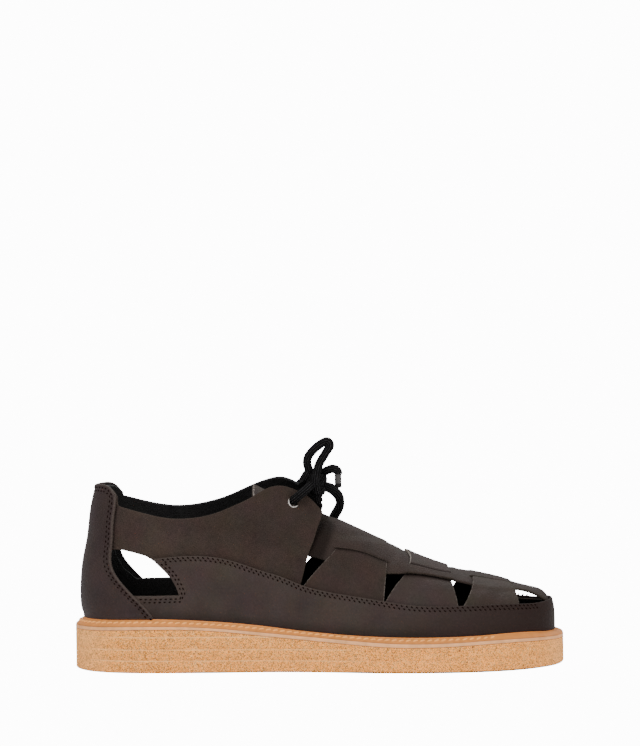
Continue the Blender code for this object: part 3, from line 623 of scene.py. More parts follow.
def scaled(tree, colour, scale):
    return vectorMaths(tree, "SCALE", {0: colour, "Scale": scale})


def placeIn(tree):
    return addNode(tree, "ShaderNodeTexCoord").outputs["Object"]


def axesOf(tree, vector):
    return addNode(tree, "ShaderNodeSeparateXYZ", {0: vector}).outputs


def attribute(tree, name):
    return addNode(tree, "ShaderNodeAttribute", attribute_name=name).outputs["Fac"]


# Leather: a colour in soft patches and a fine nap, with light flecks and a paler cut edge, and a
# grain height.
def leatherGroup():
    group, given, out = newGroup(
        "leather surface",
        [("Colour", "Color"), ("Patches", "Float"), ("Nap", "Float"), ("Flecks", "Float"),
         ("Edge colour", "Color"), ("Edge width", "Float"), ("Grain", "Float")],
        [("Colour", "Color"), ("Height", "Float"), ("Nap mask", "Float")])
    place = placeIn(group)
    patches = mapped(group, noise(group, place, 55, 2), 0.3, 0.7, -1, 1)
    nap = mapped(group, noise(group, place, 420, 4, 0.7), 0.3, 0.7, -1, 1)
    both = maths(group, "ADD", maths(group, "MULTIPLY", patches, given["Patches"]),
                 maths(group, "MULTIPLY", nap, given["Nap"]))
    toned = scaled(group, given["Colour"], maths(group, "ADD", both, 1.0))
    hues = addNode(group, "ShaderNodeTexNoise", {"Vector": place, "Scale": 75, "Detail": 1.0})
    tint = vectorMaths(group, "MULTIPLY_ADD", {
        0: hues.outputs["Color"], 1: (0.3, 0.3, 0.3), 2: (0.85, 0.85, 0.85)})
    toned = vectorMaths(group, "MULTIPLY", {0: toned, 1: tint})
    dots = noise(group, place, 1500, 1)
    flecks = maths(group, "MULTIPLY", mapped(group, dots, 0.66, 0.74), given["Flecks"])
    flecked = mixed(group, flecks, toned, given["Edge colour"])
    wobble = maths(group, "ADD", attribute(group, "edgeDistance"),
                   mapped(group, noise(group, place, 700, 2), 0.3, 0.7, -0.35, 0.35))
    edge = mapped(group, maths(group, "DIVIDE", wobble, given["Edge width"]), 0, 1, 1, 0, True)
    group.links.new(mixed(group, edge, flecked, given["Edge colour"]), out["Colour"])
    grain = maths(group, "ADD", noise(group, place, 1700, 3), maths(group, "MULTIPLY", nap, 0.5))
    group.links.new(maths(group, "MULTIPLY", grain, given["Grain"]), out["Height"])
    group.links.new(nap, out["Nap mask"])
    return group


layerLevels = (7.4, 14.0, 21.5)    # heights of the seams between the pressed layers of crepe


# Crepe rubber: a tan ground, each grain of its own tone, with fine dark and pale specks that are
# fewer towards both ends, thin broken pale lines where its layers meet, and a painted contact
# shadow as a dark line at its foot.
def crepeGroup():
    group, given, out = newGroup(
        "crepe surface",
        [("Colour", "Color"), ("End colour", "Color"), ("Speck colour", "Color"), ("Pale colour", "Color"),
         ("Specks", "Float"), ("Layers", "Float")],
        [("Colour", "Color"), ("Height", "Float")])
    place = placeIn(group)
    axes = axesOf(group, place)
    heelEnd = mapped(group, axes["X"], -0.142, -0.118, 1, 0, True)
    toeEnd = mapped(group, axes["X"], 0.128, 0.146, 0, 1, True)
    ends = maths(group, "MAXIMUM", heelEnd, toeEnd)
    slow = mapped(group, noise(group, place, 26, 2), 0.3, 0.7, -0.05, 0.05)
    cells = addNode(group, "ShaderNodeTexVoronoi", {"Vector": place, "Scale": 1700}).outputs["Color"]
    fine = mapped(group, axesOf(group, cells)["X"], 0, 1, -0.45, 0.42)
    ground = mixed(group, ends, given["Colour"], given["End colour"])
    toned = scaled(group, ground, maths(group, "ADD", maths(group, "ADD", slow, fine), 1.0))
    amount = maths(group, "MULTIPLY", mapped(group, ends, 0, 1, 1, 0.3), given["Specks"])
    dark = mapped(group, noise(group, place, 2100, 2, 0.6), 0.52, 0.62)
    speckled = mixed(group, maths(group, "MULTIPLY", dark, amount), toned, given["Speck colour"])
    shifted = vectorMaths(group, "ADD", {0: place, 1: (3, 1, 2)})
    pale = mapped(group, noise(group, shifted, 2100, 2, 0.6), 0.54, 0.64)
    lit = mixed(group, maths(group, "MULTIPLY", pale, amount), speckled, given["Pale colour"])
    line = None
    for level in layerLevels:
        away = maths(group, "ABSOLUTE", maths(group, "SUBTRACT", axes["Z"], level * mm))
        near = mapped(group, away, 0.0001, 0.0006, 1, 0, True)
        line = near if line is None else maths(group, "MAXIMUM", line, near)
    fade = mapped(group, axes["X"], -0.02, 0.05, 1, 0.1, True)
    broken = maths(group, "MULTIPLY", mapped(group, noise(group, place, 60, 2), 0.3, 0.5),
                   mapped(group, axes["X"], -0.14, -0.13))
    line = maths(group, "MULTIPLY", maths(group, "MULTIPLY", line, fade), broken)
    lined = mixed(group, maths(group, "MULTIPLY", line, given["Layers"]), lit, given["Pale colour"])
    # Painted contact shadow: the lowest millimetre or so, forward of the heel, turns nearly black.
    foot = maths(group, "MULTIPLY", mapped(group, axes["Z"], 0.0004, 0.0011, 1, 0, True),
                 mapped(group, axes["X"], -0.09, -0.05))
    group.links.new(mixed(group, foot, lined, (0.03, 0.022, 0.016, 1)), out["Colour"])
    bumps = maths(group, "ADD", noise(group, place, 700, 4, 0.6),
                  maths(group, "MULTIPLY", noise(group, place, 120, 2), 0.6))
    group.links.new(bumps, out["Height"])
    return group


groups = {"leather": leatherGroup(), "crepe": crepeGroup()}


def newMaterial(name, colour, roughness, **sockets):
    material = bpy.data.materials.new(name)
    material.use_nodes = True
    tree = material.node_tree
    shader = tree.nodes["Principled BSDF"]
    shader.inputs["Base Color"].default_value = (*colour, 1)
    shader.inputs["Roughness"].default_value = roughness
    for key, value in sockets.items():
        shader.inputs[key].default_value = value
    return material, tree, shader


def bump(tree, shader, height, distance, strength=1.0):
    normal = addNode(tree, "ShaderNodeBump", {"Height": height, "Distance": distance,
                                              "Strength": strength})
    tree.links.new(normal.outputs["Normal"], shader.inputs["Normal"])


def leatherMaterial(name, look):
    material, tree, shader = newMaterial(name, look["colour"], look["roughness"])
    group = addNode(tree, "ShaderNodeGroup", node_tree=groups["leather"])
    for key, value in (("Colour", (*look["colour"], 1)), ("Patches", look["patches"]),
                       ("Nap", look["nap"]), ("Flecks", look["flecks"]),
                       ("Edge colour", (*look["edgeColour"], 1)), ("Edge width", look["edgeWidth"]),
                       ("Grain", 1.0)):
        group.inputs[key].default_value = value
    colour = group.outputs["Colour"]
    if "toeColour" in look:
        share = mapped(tree, axesOf(tree, placeIn(tree))["X"], 0.010, 0.142, 0, 1, True)
        colour = mixed(tree, share, colour, (*look["toeColour"], 1))
    # A painted highlight: a pale crescent inside one circle round the near eyelet and outside another.
    if "eyeletHighlight" in look:
        place = placeIn(tree)
        (centre, radius), (other, clear) = look["eyeletHighlight"]
        away = [addNode(tree, "ShaderNodeVectorMath", {0: place, 1: tuple(np.multiply(spot, mm))},
                        operation="DISTANCE").outputs["Value"] for spot in (centre, other)]
        share = maths(tree, "MULTIPLY", mapped(tree, away[0], (radius - 0.3) * mm, radius * mm, 1, 0),
                      mapped(tree, away[1], (clear - 0.3) * mm, clear * mm, 0, 1))
        colour = mixed(tree, share, colour, (0.75, 0.70, 0.66, 1))
    light = maths(tree, "SUBTRACT", 1.0, attribute(tree, "shade"))
    tree.links.new(scaled(tree, colour, light), shader.inputs["Base Color"])
    tree.links.new(maths(tree, "MULTIPLY", light, look["specular"]), shader.inputs["Specular IOR Level"])
    bump(tree, shader, group.outputs["Height"], look["grain"])
    return material


looks = dict(
    # The nubuck carries a painted highlight: a pale crescent beside the near eyelet.
    nubuck=dict(colour=(0.0296, 0.0194, 0.0156), roughness=0.92, patches=0.12, nap=0.14, flecks=0.14,
                edgeColour=(0.032, 0.022, 0.017), edgeWidth=0.5, grain=0.00025, specular=0.15,
                eyeletHighlight=(((-14.1, -21.2, 100.4), 3.5), ((-13.2, -21.2, 101.6), 3.9))),
    vamp=dict(colour=(0.0235, 0.0142, 0.0110), roughness=0.75, patches=0.12, nap=0.10, flecks=0.06,
              edgeColour=(0.040, 0.029, 0.023), edgeWidth=0.5, grain=0.0002, specular=0.2),
    strapRear=dict(colour=(0.0292, 0.0188, 0.0150), roughness=0.85, patches=0.12, nap=0.12, flecks=0.08,
                   edgeColour=(0.042, 0.030, 0.024), edgeWidth=0.5, grain=0.0002, specular=0.15),
    strapMiddle=dict(colour=(0.0290, 0.0186, 0.0158), roughness=0.75, patches=0.12, nap=0.10, flecks=0.06,
                     edgeColour=(0.046, 0.034, 0.028), edgeWidth=0.5, grain=0.0002, specular=0.2),
    strapToe=dict(colour=(0.0262, 0.0168, 0.0120), roughness=0.7, patches=0.12, nap=0.10, flecks=0.05,
                  edgeColour=(0.046, 0.034, 0.028), edgeWidth=0.5, grain=0.0002, specular=0.2),
    rand=dict(colour=(0.0352, 0.0246, 0.0212), roughness=0.62, patches=0.12, nap=0.04, flecks=0.03,
              edgeColour=(0.044, 0.032, 0.027), edgeWidth=0.5, grain=0.00012, specular=0.12,
              toeColour=(0.0150, 0.0072, 0.0055)),
    counter=dict(colour=(0.0235, 0.0132, 0.0120), roughness=0.6, patches=0.2, nap=0.04, flecks=0.02,
                 edgeColour=(0.040, 0.028, 0.023), edgeWidth=0.6, grain=0.00012, specular=0.2),
    tongue=dict(colour=(0.045, 0.035, 0.030), roughness=0.92, patches=0.10, nap=0.14, flecks=0.12,
                edgeColour=(0.24, 0.21, 0.19), edgeWidth=0.6, grain=0.00025, specular=0.15),
    rawEdge=dict(colour=(0.034, 0.025, 0.020), roughness=0.95, patches=0.2, nap=0.3, flecks=0.25,
                 edgeColour=(0.10, 0.085, 0.075), edgeWidth=0.1, grain=0.0003, specular=0.1),
    # A raw cut edge paler than the rest: partly its own colour and partly a painted highlight.
    rawEdgeHighlight=dict(colour=(0.16, 0.14, 0.125), roughness=0.95, patches=0.2, nap=0.3, flecks=0.1,
                  edgeColour=(0.20, 0.18, 0.16), edgeWidth=0.1, grain=0.0003, specular=0.1),
    lining=dict(colour=(0.0050, 0.0042, 0.0043), roughness=0.75, patches=0.15, nap=0.1, flecks=0.0,
                edgeColour=(0.02, 0.02, 0.02), edgeWidth=0.1, grain=0.0002, specular=0.2),
)
crepe = dict(
    colour=(0.93, 0.345, 0.060), endColour=(0.90, 0.40, 0.115), speck=(0.075, 0.034, 0.012), specks=1.0,
    pale=(1.0, 0.56, 0.22), layers=0.65, roughness=0.95,
)
leathers = {name: leatherMaterial(name, look) for name, look in looks.items()}


def crepeMaterial():
    material, tree, shader = newMaterial("crepe", crepe["colour"], crepe["roughness"])
    group = addNode(tree, "ShaderNodeGroup", node_tree=groups["crepe"])
    for key, value in (("Colour", (*crepe["colour"], 1)), ("End colour", (*crepe["endColour"], 1)),
                       ("Speck colour", (*crepe["speck"], 1)), ("Pale colour", (*crepe["pale"], 1)),
                       ("Specks", crepe["specks"]), ("Layers", crepe["layers"])):
        group.inputs[key].default_value = value
    tree.links.new(group.outputs["Colour"], shader.inputs["Base Color"])
    shader.inputs["Specular IOR Level"].default_value = 0.2
    bump(tree, shader, group.outputs["Height"], 0.0004)
    return material


def tanMaterial(name, colour, roughness, variation, grain):
    material, tree, shader = newMaterial(name, colour, roughness)
    place = placeIn(tree)
    tone = mapped(tree, noise(tree, place, 160, 4, 0.6), 0.3, 0.7, 1 - variation, 1 + variation)
    tree.links.new(scaled(tree, colour, tone), shader.inputs["Base Color"])
    shader.inputs["Specular IOR Level"].default_value = 0.3
    bump(tree, shader, noise(tree, place, 900, 3), grain)
    return material


crepeLook = crepeMaterial()
bandLook = tanMaterial("midsole band", (0.76, 0.375, 0.165), 0.75, 0.16, 0.00015)
weltLook = tanMaterial("welt", (0.62, 0.22, 0.045), 0.6, 0.10, 0.0002)
threadLook = tanMaterial("welt thread", (0.97, 0.45, 0.13), 0.7, 0.08, 0.0001)
darkThreadLook = newMaterial("dark thread", (0.0060, 0.0022, 0.0016), 1.0, **{"Specular IOR Level": 0.0})[0]
agletLook = newMaterial("aglet", (0.050, 0.047, 0.045), 0.4, **{"Specular IOR Level": 0.2})[0]
agletTipLook = newMaterial("aglet tip", (0.006, 0.0055, 0.0055), 0.5, **{"Specular IOR Level": 0.1})[0]
print("materials")


# Lace ---------------------------------------------------------------------------------------

lace = dict(
    diameter=5.2, ribs=12, ribDepth=0.06, braidDepth=0.03, braidPitch=2.6,
    agletDiameter=4.2, agletLength=9.2, agletTip=2.6, agletSides=32,
    agletOverlap=0.6,              # how far it reaches back over its cord
    agletRound=0.7,                # length of the rounding at its tip
    barRoute=((-14.8, -17, 100.9), (-13.6, -21.5, 102.1), (-12.2, -24, 103.2), (-10.2, -23.6, 104.8),
              (-7.6, -20, 106.8), (-4.8, -14.5, 109), (-3.2, -9, 109.8), (-1.8, -4, 109.6), (0, 1, 108.4),
              (-3, 8, 108), (-8, 14.6, 110.6), (-11, 18.8, 109), (-13, 20.8, 106), (-15, 17.5, 103)),
    upperLoopRoute=((-4.2, -2, 114.5), (-4.8, -2.5, 118), (-6, -3.4, 122.6), (-5.5, -3.8, 126.2),
                    (-3.1, -4, 129.7), (0.4, -4.3, 133), (4, -4.6, 135.3), (6.6, -4.9, 135.9),
                    (8, -5, 134), (6.6, -5, 130.8), (4.3, -5, 127.2), (2.3, -5, 124), (0.7, -5.2, 120.6),
                    (-0.4, -7, 116.5), (-1, -9.8, 112.5), (-0.9, -10.2, 109.2), (-0.2, -8, 105.5)),
    farLoopRoute=((2.6, 3, 108.8), (7.1, 7, 106.5), (10.4, 12.5, 103.9), (12.8, 16, 100.5),
                  (13.8, 20.5, 96.4), (12.8, 25, 92.5), (11, 29, 89.1), (9.2, 32.6, 86.4), (9.6, 36.8, 87.6),
                  (11.6, 35.6, 91), (13.4, 31, 94.8), (13.6, 26.4, 99), (11.8, 21.4, 103),
                  (8, 15.4, 106.6), (2.8, 9, 108.4)),
    nearEndRoute=((-9.2, -1.6, 108.6), (-8.2, 1.2, 110), (-6.2, 4.2, 112.4), (-2.4, 5.6, 115),
                  (1.7, 3.4, 116.3), (4.6, 0, 117.3), (7.2, -3, 118.6), (9.5, -5, 119.2),
                  (11.7, -5, 118.5), (12.7, -5, 117), (12.7, -5, 116.1)),
    farEndRoute=((-2.0, -0.5, 110.2), (-2.4, 7.3, 112.2), (-2.2, 13, 113.6), (-2.4, 18.6, 111.6),
                 (-3, 23.4, 106.2), (-3.6, 25.6, 99.6)),
    knotStart=(-8.4, -1.6, 112.6), knotEnd=(3.4, -1.6, 108.6), knotTurns=2.6, knotRadius=4.8,
    knotTail=((1.2, -5.2, 104.6), (0.3, -5.4, 102.2), (0.9, -4.6, 99.2)),
    ribColour=(0.045, 0.043, 0.045),
)


# A tube along a path: frames are carried along it without turning about it, and each ring is a
# circle whose radius is a function of the angle and of the distance along.
def tubePiece(name, path, radius, sides, material):
    path = np.asarray(path, float)
    along = np.gradient(path, axis=0)
    along /= np.linalg.norm(along, axis=1)[:, None]
    across = np.empty_like(path)
    across[0] = np.cross(along[0], (0.31, 0.87, 0.38))
    for i in range(1, len(path)):
        across[i] = across[i - 1] - along[i] * across[i - 1].dot(along[i])
    across[0] -= along[0] * across[0].dot(along[0])
    across /= np.linalg.norm(across, axis=1)[:, None]
    other = np.cross(along, across)
    run = runAlong(path)
    angle = np.arange(sides) * 2 * np.pi / sides
    reach = radius(angle[None, :], run[:, None])[..., None]
    outward = across[:, None] * np.cos(angle)[:, None] + other[:, None] * np.sin(angle)[:, None]
    rings = path[:, None] + outward * reach
    points = np.concatenate([rings.reshape(-1, 3), path[[0, -1]]])
    ends = len(rings) * sides
    ring = np.arange(sides)
    following = (ring + 1) % sides
    caps = np.concatenate([
        np.stack([following, ring, np.full(sides, ends)], 1),
        np.stack([ring + ends - sides, following + ends - sides, np.full(sides, ends + 1)], 1)])
    uv = np.stack(np.broadcast_arrays(run[:, None], angle[None, :] * 2.2), -1).reshape(-1, 2)
    uv = np.concatenate([uv, uv[[0, -1]]])
    wall = gridQuads(len(path), sides, closeColumns=True)[:, ::-1]
    return addPiece(name, points, [wall, caps], [material], uv=uv)


# Black cord with paler ribs: a cosine round it raised to a power, broken by its braid and by noise.
def cordMaterial():
    black = (0.0020, 0.0017, 0.0018, 1)
    material, tree, shader = newMaterial("lace cord", black[:3], 0.9)
    place = addNode(tree, "ShaderNodeTexCoord")
    axes = addNode(tree, "ShaderNodeSeparateXYZ", {0: place.outputs["UV"]}).outputs
    turn = maths(tree, "MULTIPLY", axes["Y"], lace["ribs"] / 2 / 0.0022)
    rib = maths(tree, "POWER", maths(tree, "ABSOLUTE", maths(tree, "COSINE", turn)), 12.0)
    broken = mapped(tree, noise(tree, place.outputs["Object"], 800, 2), 0.35, 0.65, 0.25, 1)
    tree.links.new(mixed(tree, maths(tree, "MULTIPLY", rib, broken), black, (*lace["ribColour"], 1)),
                   shader.inputs["Base Color"])
    shader.inputs["Specular IOR Level"].default_value = 0.08
    bump(tree, shader, rib, 0.0004)
    return material


laceLook = cordMaterial()


# The cord's radius: ribs along it, and a braid of two opposed helices in low relief.
def cordRadius(angle, run):
    ribs = np.abs(np.cos(lace["ribs"] / 2 * angle)) - 0.6
    turn = run * 2 * np.pi / lace["braidPitch"]
    braid = np.cos(lace["ribs"] / 2 * angle + turn) * np.cos(lace["ribs"] / 2 * angle - turn)
    return lace["diameter"] / 2 * (1 + lace["ribDepth"] * ribs + lace["braidDepth"] * braid * 0.5)


def lacePiece(name, route, replaced):
    length = np.linalg.norm(np.diff(np.asarray(route, float), axis=0), axis=1).sum()
    path = smoothPath(route, int(length / 0.4))
    piece = tubePiece(name, path, cordRadius, 56, laceLook)
    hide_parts(*replaced)
    return piece


# A plastic tip: a straight tube with a rounded end, in line with the end of its cord.
def agletPiece(name, route, replaced):
    route = np.asarray(route, float)
    direction = route[-1] - route[-2]
    direction /= np.linalg.norm(direction)
    start = route[-1] - direction * lace["agletOverlap"]
    length, radius = lace["agletLength"], lace["agletDiameter"] / 2
    rounding, sides = lace["agletRound"], lace["agletSides"]
    stations = np.concatenate([np.linspace(0, 0.5, 5), np.linspace(1, length - rounding, 8),
                               length - rounding * (1 - np.sin(np.linspace(0.2, 1.5, 6)))])
    path = start + direction * stations[:, None]

    def shape(angle, run):
        past = np.clip(run - (length - rounding), 0, rounding - 0.01)
        tip = np.sqrt(np.clip(1 - (past / rounding) ** 2, 0.05, 1))
        return radius * tip * (1 + 0 * angle)

    piece = tubePiece(name, path, shape, sides, agletLook)
    piece.data.materials.append(agletTipLook)
    dark = np.repeat(stations[1:] > length - lace["agletTip"], sides)
    slots = np.concatenate([dark, np.zeros(sides), np.ones(sides)])
    piece.data.polygons.foreach_set("material_index", slots.astype(np.int32))
    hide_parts(replaced)
    return piece


# The knot: one cord wound round in a helix from its left lobe to its right, with a short tail.
def knotRoute():
    start, end = np.array(lace["knotStart"]), np.array(lace["knotEnd"])
    axis = (end - start) / np.linalg.norm(end - start)
    across = np.cross(axis, (0, 0, 1))
    across /= np.linalg.norm(across)
    up = np.cross(across, axis)
    t = np.linspace(0, 1, 40)[:, None]
    turn = 2 * np.pi * lace["knotTurns"] * t
    swell = lace["knotRadius"] * (1 - 0.12 * (2 * t - 1) ** 2)
    wound = start + (end - start) * t + (across * np.cos(turn) + up * np.sin(turn)) * swell
    return np.concatenate([wound, lace["knotTail"]])


agletNear = agletPiece("agletNear", lace["nearEndRoute"], "aglet_near")
agletFar = agletPiece("agletFar", lace["farEndRoute"], "aglet_far")
lacePiece("laceBar", lace["barRoute"], ["lace_bar"])
lacePiece("laceKnot", knotRoute(), ["lace_knot"])
lacePiece("laceLoopUpper", lace["upperLoopRoute"], ["lace_loop_upper"])
lacePiece("laceLoopFar", lace["farLoopRoute"], ["lace_loop_far"])
lacePiece("laceEndNear", lace["nearEndRoute"], ["lace_end_near"])
lacePiece("laceEndFar", lace["farEndRoute"], ["lace_end_far"])
print("lace")


# Sole ---------------------------------------------------------------------------------------

sole = dict(
    columns=720,
    corner=1.1,                    # rounding of the bottom edge
    layers=layerLevels,
    layerDepth=0.25,
    gap=0.15,
)
welt = dict(
    width=5.2, innerInset=9.5, edge=0.45,
    seat=0.2,                      # how far it ends under the foot line
    groove=0.55,
    stitchPitch=4.2, stitchLength=3.5, stitchRadius=0.5, stitchSlant=24,
    stitchInset=2.6, stitchEnd=109.0,        # no stitches are set forward of this, round the toe
)


def raised(height, by):
    return lambda x: height(x) + by


# Rings of (inset, height over x) round the sole's edge, joined in order. A plate closes both ends
# with a ladder across; a ring closes on itself.
def soleRings(name, profile, material, closed):
    count = sole["columns"]
    angles = angleOfRun(np.arange(count) * edgeTable(0.0)[4][-1] / count, 0.0)
    rings = []
    for inset, height in profile:
        x, y = edgeAt(angles, round(inset, 3))
        rings.append(np.stack([x, y, height(x)], 1))
    # The angles run clockwise from above (heel, lateral, toe), and the profile from below upwards.
    quads = gridQuads(len(rings), count, closeRows=closed, closeColumns=True)[:, ::-1]
    faceSets = [quads]
    if not closed:
        i = np.arange(count // 2)
        ladder = np.stack([i, i + 1, (count - i - 1) % count, (count - i) % count], 1)
        middle = ladder[1:-1]
        top = (len(rings) - 1) * count
        triangles = np.array([[0, 1, count - 1], [count // 2 - 1, count // 2, count // 2 + 1]])
        faceSets = [np.concatenate([quads, middle[:, ::-1], middle + top]),
                    np.concatenate([triangles[:, ::-1], triangles + top])]
    return addPiece(name, np.concatenate(rings), faceSets, [material])


def outsoleProfile():
    turn = np.linspace(0, np.pi / 2, 7)
    profile = [(3.5, soleBottom)]
    profile += [(sole["corner"] * (1 - math.sin(t)), raised(soleBottom, sole["corner"] * (1 - math.cos(t))))
                for t in turn]
    last = len(sole["layers"])
    for i, level in enumerate(sole["layers"]):
        spare = 1.6 * (last - i)
        middle = lambda x, level=level, spare=spare: np.minimum(level, wedgeTop(x) - spare)
        profile += [(0.0, raised(middle, -0.5)), (sole["layerDepth"] * 0.6, raised(middle, -0.2)),
                    (sole["layerDepth"], middle), (sole["layerDepth"] * 0.6, raised(middle, 0.2)),
                    (0.0, raised(middle, 0.5))]
    profile += [(0.0, raised(wedgeTop, -0.3)), (0.15, raised(wedgeTop, -0.08)),
                (0.9, raised(wedgeTop, -sole["gap"]))]
    return profile


outsole = soleRings("outsole", outsoleProfile(), crepeLook, False)
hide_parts("outsole")

midsole = soleRings("midsole", [
    (1.0, raised(wedgeTop, 0.12)), (0.2, raised(wedgeTop, 0.14)), (0.05, raised(wedgeTop, 0.3)),
    (0.0, raised(wedgeTop, 0.7)), (0.0, raised(midsoleTop, -0.5)), (0.05, raised(midsoleTop, -0.2)),
    (0.2, raised(midsoleTop, -0.06)), (1.0, raised(midsoleTop, 0.0)),
], bandLook, False)
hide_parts("midsole")


# The welt's straight slope from its edge (share 0) to just under the foot line (1).
def weltSlope(x, share):
    low = midsoleTop(x) + welt["edge"]
    return low + (footHeight(x) - welt["seat"] - low) * share


# Its upper face as a height over x for a share across it: the slope with a groove beside the upper.
def weltHeight(share):
    groove = welt["groove"] * math.exp(-((share - 0.86) / 0.07) ** 2)
    return lambda x: weltSlope(x, share) - groove


weltProfile = [(0.75, raised(midsoleTop, 0.15)), (0.35, raised(midsoleTop, 0.2))]
weltProfile += [(0.25 + (welt["width"] - 0.25) * share, weltHeight(share))
                for share in (0.0, 0.04, 0.1, 0.2, 0.35, 0.5, 0.65, 0.74, 0.8, 0.86, 0.92, 0.97, 1.0)]
weltProfile += [(welt["innerInset"], raised(footHeight, -welt["seat"])),
                (welt["innerInset"], raised(midsoleTop, 0.15))]
weltPiece = soleRings("welt", weltProfile, weltLook, True)
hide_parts("welt")

footbed = soleRings("footbed", [
    (9.9, raised(midsoleTop, 0.2)), (9.9, raised(footHeight, 1.6)), (10.0, raised(footHeight, 2.1)),
    (10.4, raised(footHeight, 2.45)), (11.2, raised(footHeight, 2.6)),
], leathers["lining"], False)
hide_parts("footbed")
print("sole")


# Stitches -----------------------------------------------------------------------------------

# Many small rounded threads in one mesh. Each is a capsule of six sides along its own direction,
# with its ends turned down into the leather.
def stitchPiece(name, centres, along, normal, length, radius, material, sink=0.0):
    stations = np.array([-0.5, -0.42, -0.2, 0.2, 0.42, 0.5])
    widths = np.array([0.25, 0.75, 1.0, 1.0, 0.75, 0.25])
    drops = np.array([0.9, 0.35, 0.0, 0.0, 0.35, 0.9])
    sides = np.arange(6) * np.pi / 3
    across = np.cross(normal, along)
    middle = (centres[:, None] + along[:, None] * (stations * length)[:, None]
              - normal[:, None] * (drops * radius + sink)[:, None])
    outward = (across[:, None, None] * np.cos(sides)[:, None]
               + normal[:, None, None] * np.sin(sides)[:, None])
    rings = middle[:, :, None] + radius * widths[:, None, None] * outward
    count = len(centres)
    points = rings.reshape(-1, 3)
    base = np.arange(count)[:, None, None] * 36
    quads = (gridQuads(6, 6, closeColumns=True)[None] + base).reshape(-1, 4)
    caps = (np.array([np.arange(6)[::-1], np.arange(30, 36)])[None] + base).reshape(-1, 6)
    return addPiece(name, points, [quads, caps], [material])


def unit(vectors):
    return vectors / np.linalg.norm(vectors, axis=-1, keepdims=True)


# Stitches laid along a path on a surface of two parameters, each turned about the normal.
def stitchesOn(name, surface, path, pitch, length, radius, slant, material, steps, flip=False, height=0.0,
               sink=0.0):
    rows = []
    for line, offset in path:
        fine = np.asarray(line, float)
        places = surface(fine[:, 0], fine[:, 1])
        run = runAlong(places)
        at = np.arange(pitch / 2 + offset, run[-1], pitch)
        u, v = np.interp(at, run, fine[:, 0]), np.interp(at, run, fine[:, 1])
        ahead = [np.interp(at + 0.3, run, fine[:, 0]), np.interp(at + 0.3, run, fine[:, 1])]
        normal = normalsOf(surface, u, v, *steps, flip)
        centre = surface(u, v)
        along = unit(surface(*ahead) - centre)
        turn = np.radians(slant)
        direction = unit(along * np.cos(turn) + np.cross(normal, along) * np.sin(turn))
        lift = height(u, v) if callable(height) else height
        rows.append((centre + normal * np.reshape(lift, (-1, 1)), direction, normal))
    centres, along, normal = (np.concatenate(part) for part in zip(*rows))
    return stitchPiece(name, centres, along, normal, length, radius, material, sink)


# The welt's slope as a surface of the run round the edge and the inset.
def weltSurface(run, inset):
    angles = angleOfRun(run, 0.0)
    low, high = edgeAt(angles, 0.3), edgeAt(angles, welt["width"])
    share = (inset - 0.3) / (welt["width"] - 0.3)
    x = low[0] + (high[0] - low[0]) * share
    y = low[1] + (high[1] - low[1]) * share
    return np.stack([x, y, weltSlope(x, share)], -1)


edgeLength = edgeTable(0.0)[4][-1]
weltReach = float(runOfAngle(angleAt(welt["stitchEnd"], -1, 0.0), 0.0))
weltBack = edgeLength - float(runOfAngle(angleAt(welt["stitchEnd"], 1, 0.0), 0.0))
weltRun = np.linspace(-weltBack, weltReach, 1500)
weltLine = np.stack([weltRun, np.full(len(weltRun), welt["stitchInset"])], 1)
weltStitches = stitchesOn("weltStitches", weltSurface, [(weltLine, 0.0)], welt["stitchPitch"],
                          welt["stitchLength"], welt["stitchRadius"], welt["stitchSlant"],
                          threadLook, (0.3, 0.2), height=0.12)
print("welt stitches")


# Upper --------------------------------------------------------------------------------------

upper = dict(
    cell=1.3,                      # grid of the leather sheets
    wall=2.0, strap=1.5, lift=0.72, rand=1.5, counter=1.9, tongue=2.2,
    pressed=2.4, pressedReach=6.0,
    shade=0.55, shadeReach=13.0,    # how dark the painted shade on the vamp is in front of the facings, how far it reaches
    strapRows=40.0,                # the share across a strap runs from 0 to this
    tucked=0.8, tuckedReach=1.2,   # how dark the painted shade on a strap is where it goes under, and how far to each side
    edgeReach=1.7,                 # the same reach where a strap starts out under the vamp's edge
    randHeight=2.25, counterHeight=2.8,
    eyelet=5.8, farEyelet=4.2, eyeletX=-14.1, eyeletZ=100.2,
)


# Looks of a sheet's outer face, rim and inner face: with a raw cut edge, or a rim like its face.
def leatherSlots(name):
    return [leathers[name], leathers["rawEdge"], leathers["lining"]]


def ownRim(name):
    return [leathers[name], leathers[name], leathers["lining"]]


def wallSurface(*arches):
    return lambda run, z: onLast(angleOfRun(run), z, *arches)


quarterSurface = wallSurface(quarterArch)
marginSurface = wallSurface(vampArch, quarterArch)
vampScale = 52.0                   # millimetres of girth parameter from foot line to crest


def vampSurface(x, girth):
    return overVamp(x, girth / vampScale)


# How much higher the edges stand on the medial side.
def riseOn(side):
    return np.where(np.asarray(side) > 0, last["medialRise"], 0.0)


def riseOf(run):
    return riseOn(sideOf(run))


windowDistance = outlineDistance(windowRows)
facingEnd = collarRows[-1][0]


def eyeletPlace(side):
    z = upper["eyeletZ"] + float(riseOn(side))
    run = float(runAt(upper["eyeletX"], side))
    return quarterSurface(np.array([run]), np.array([z]))[0]


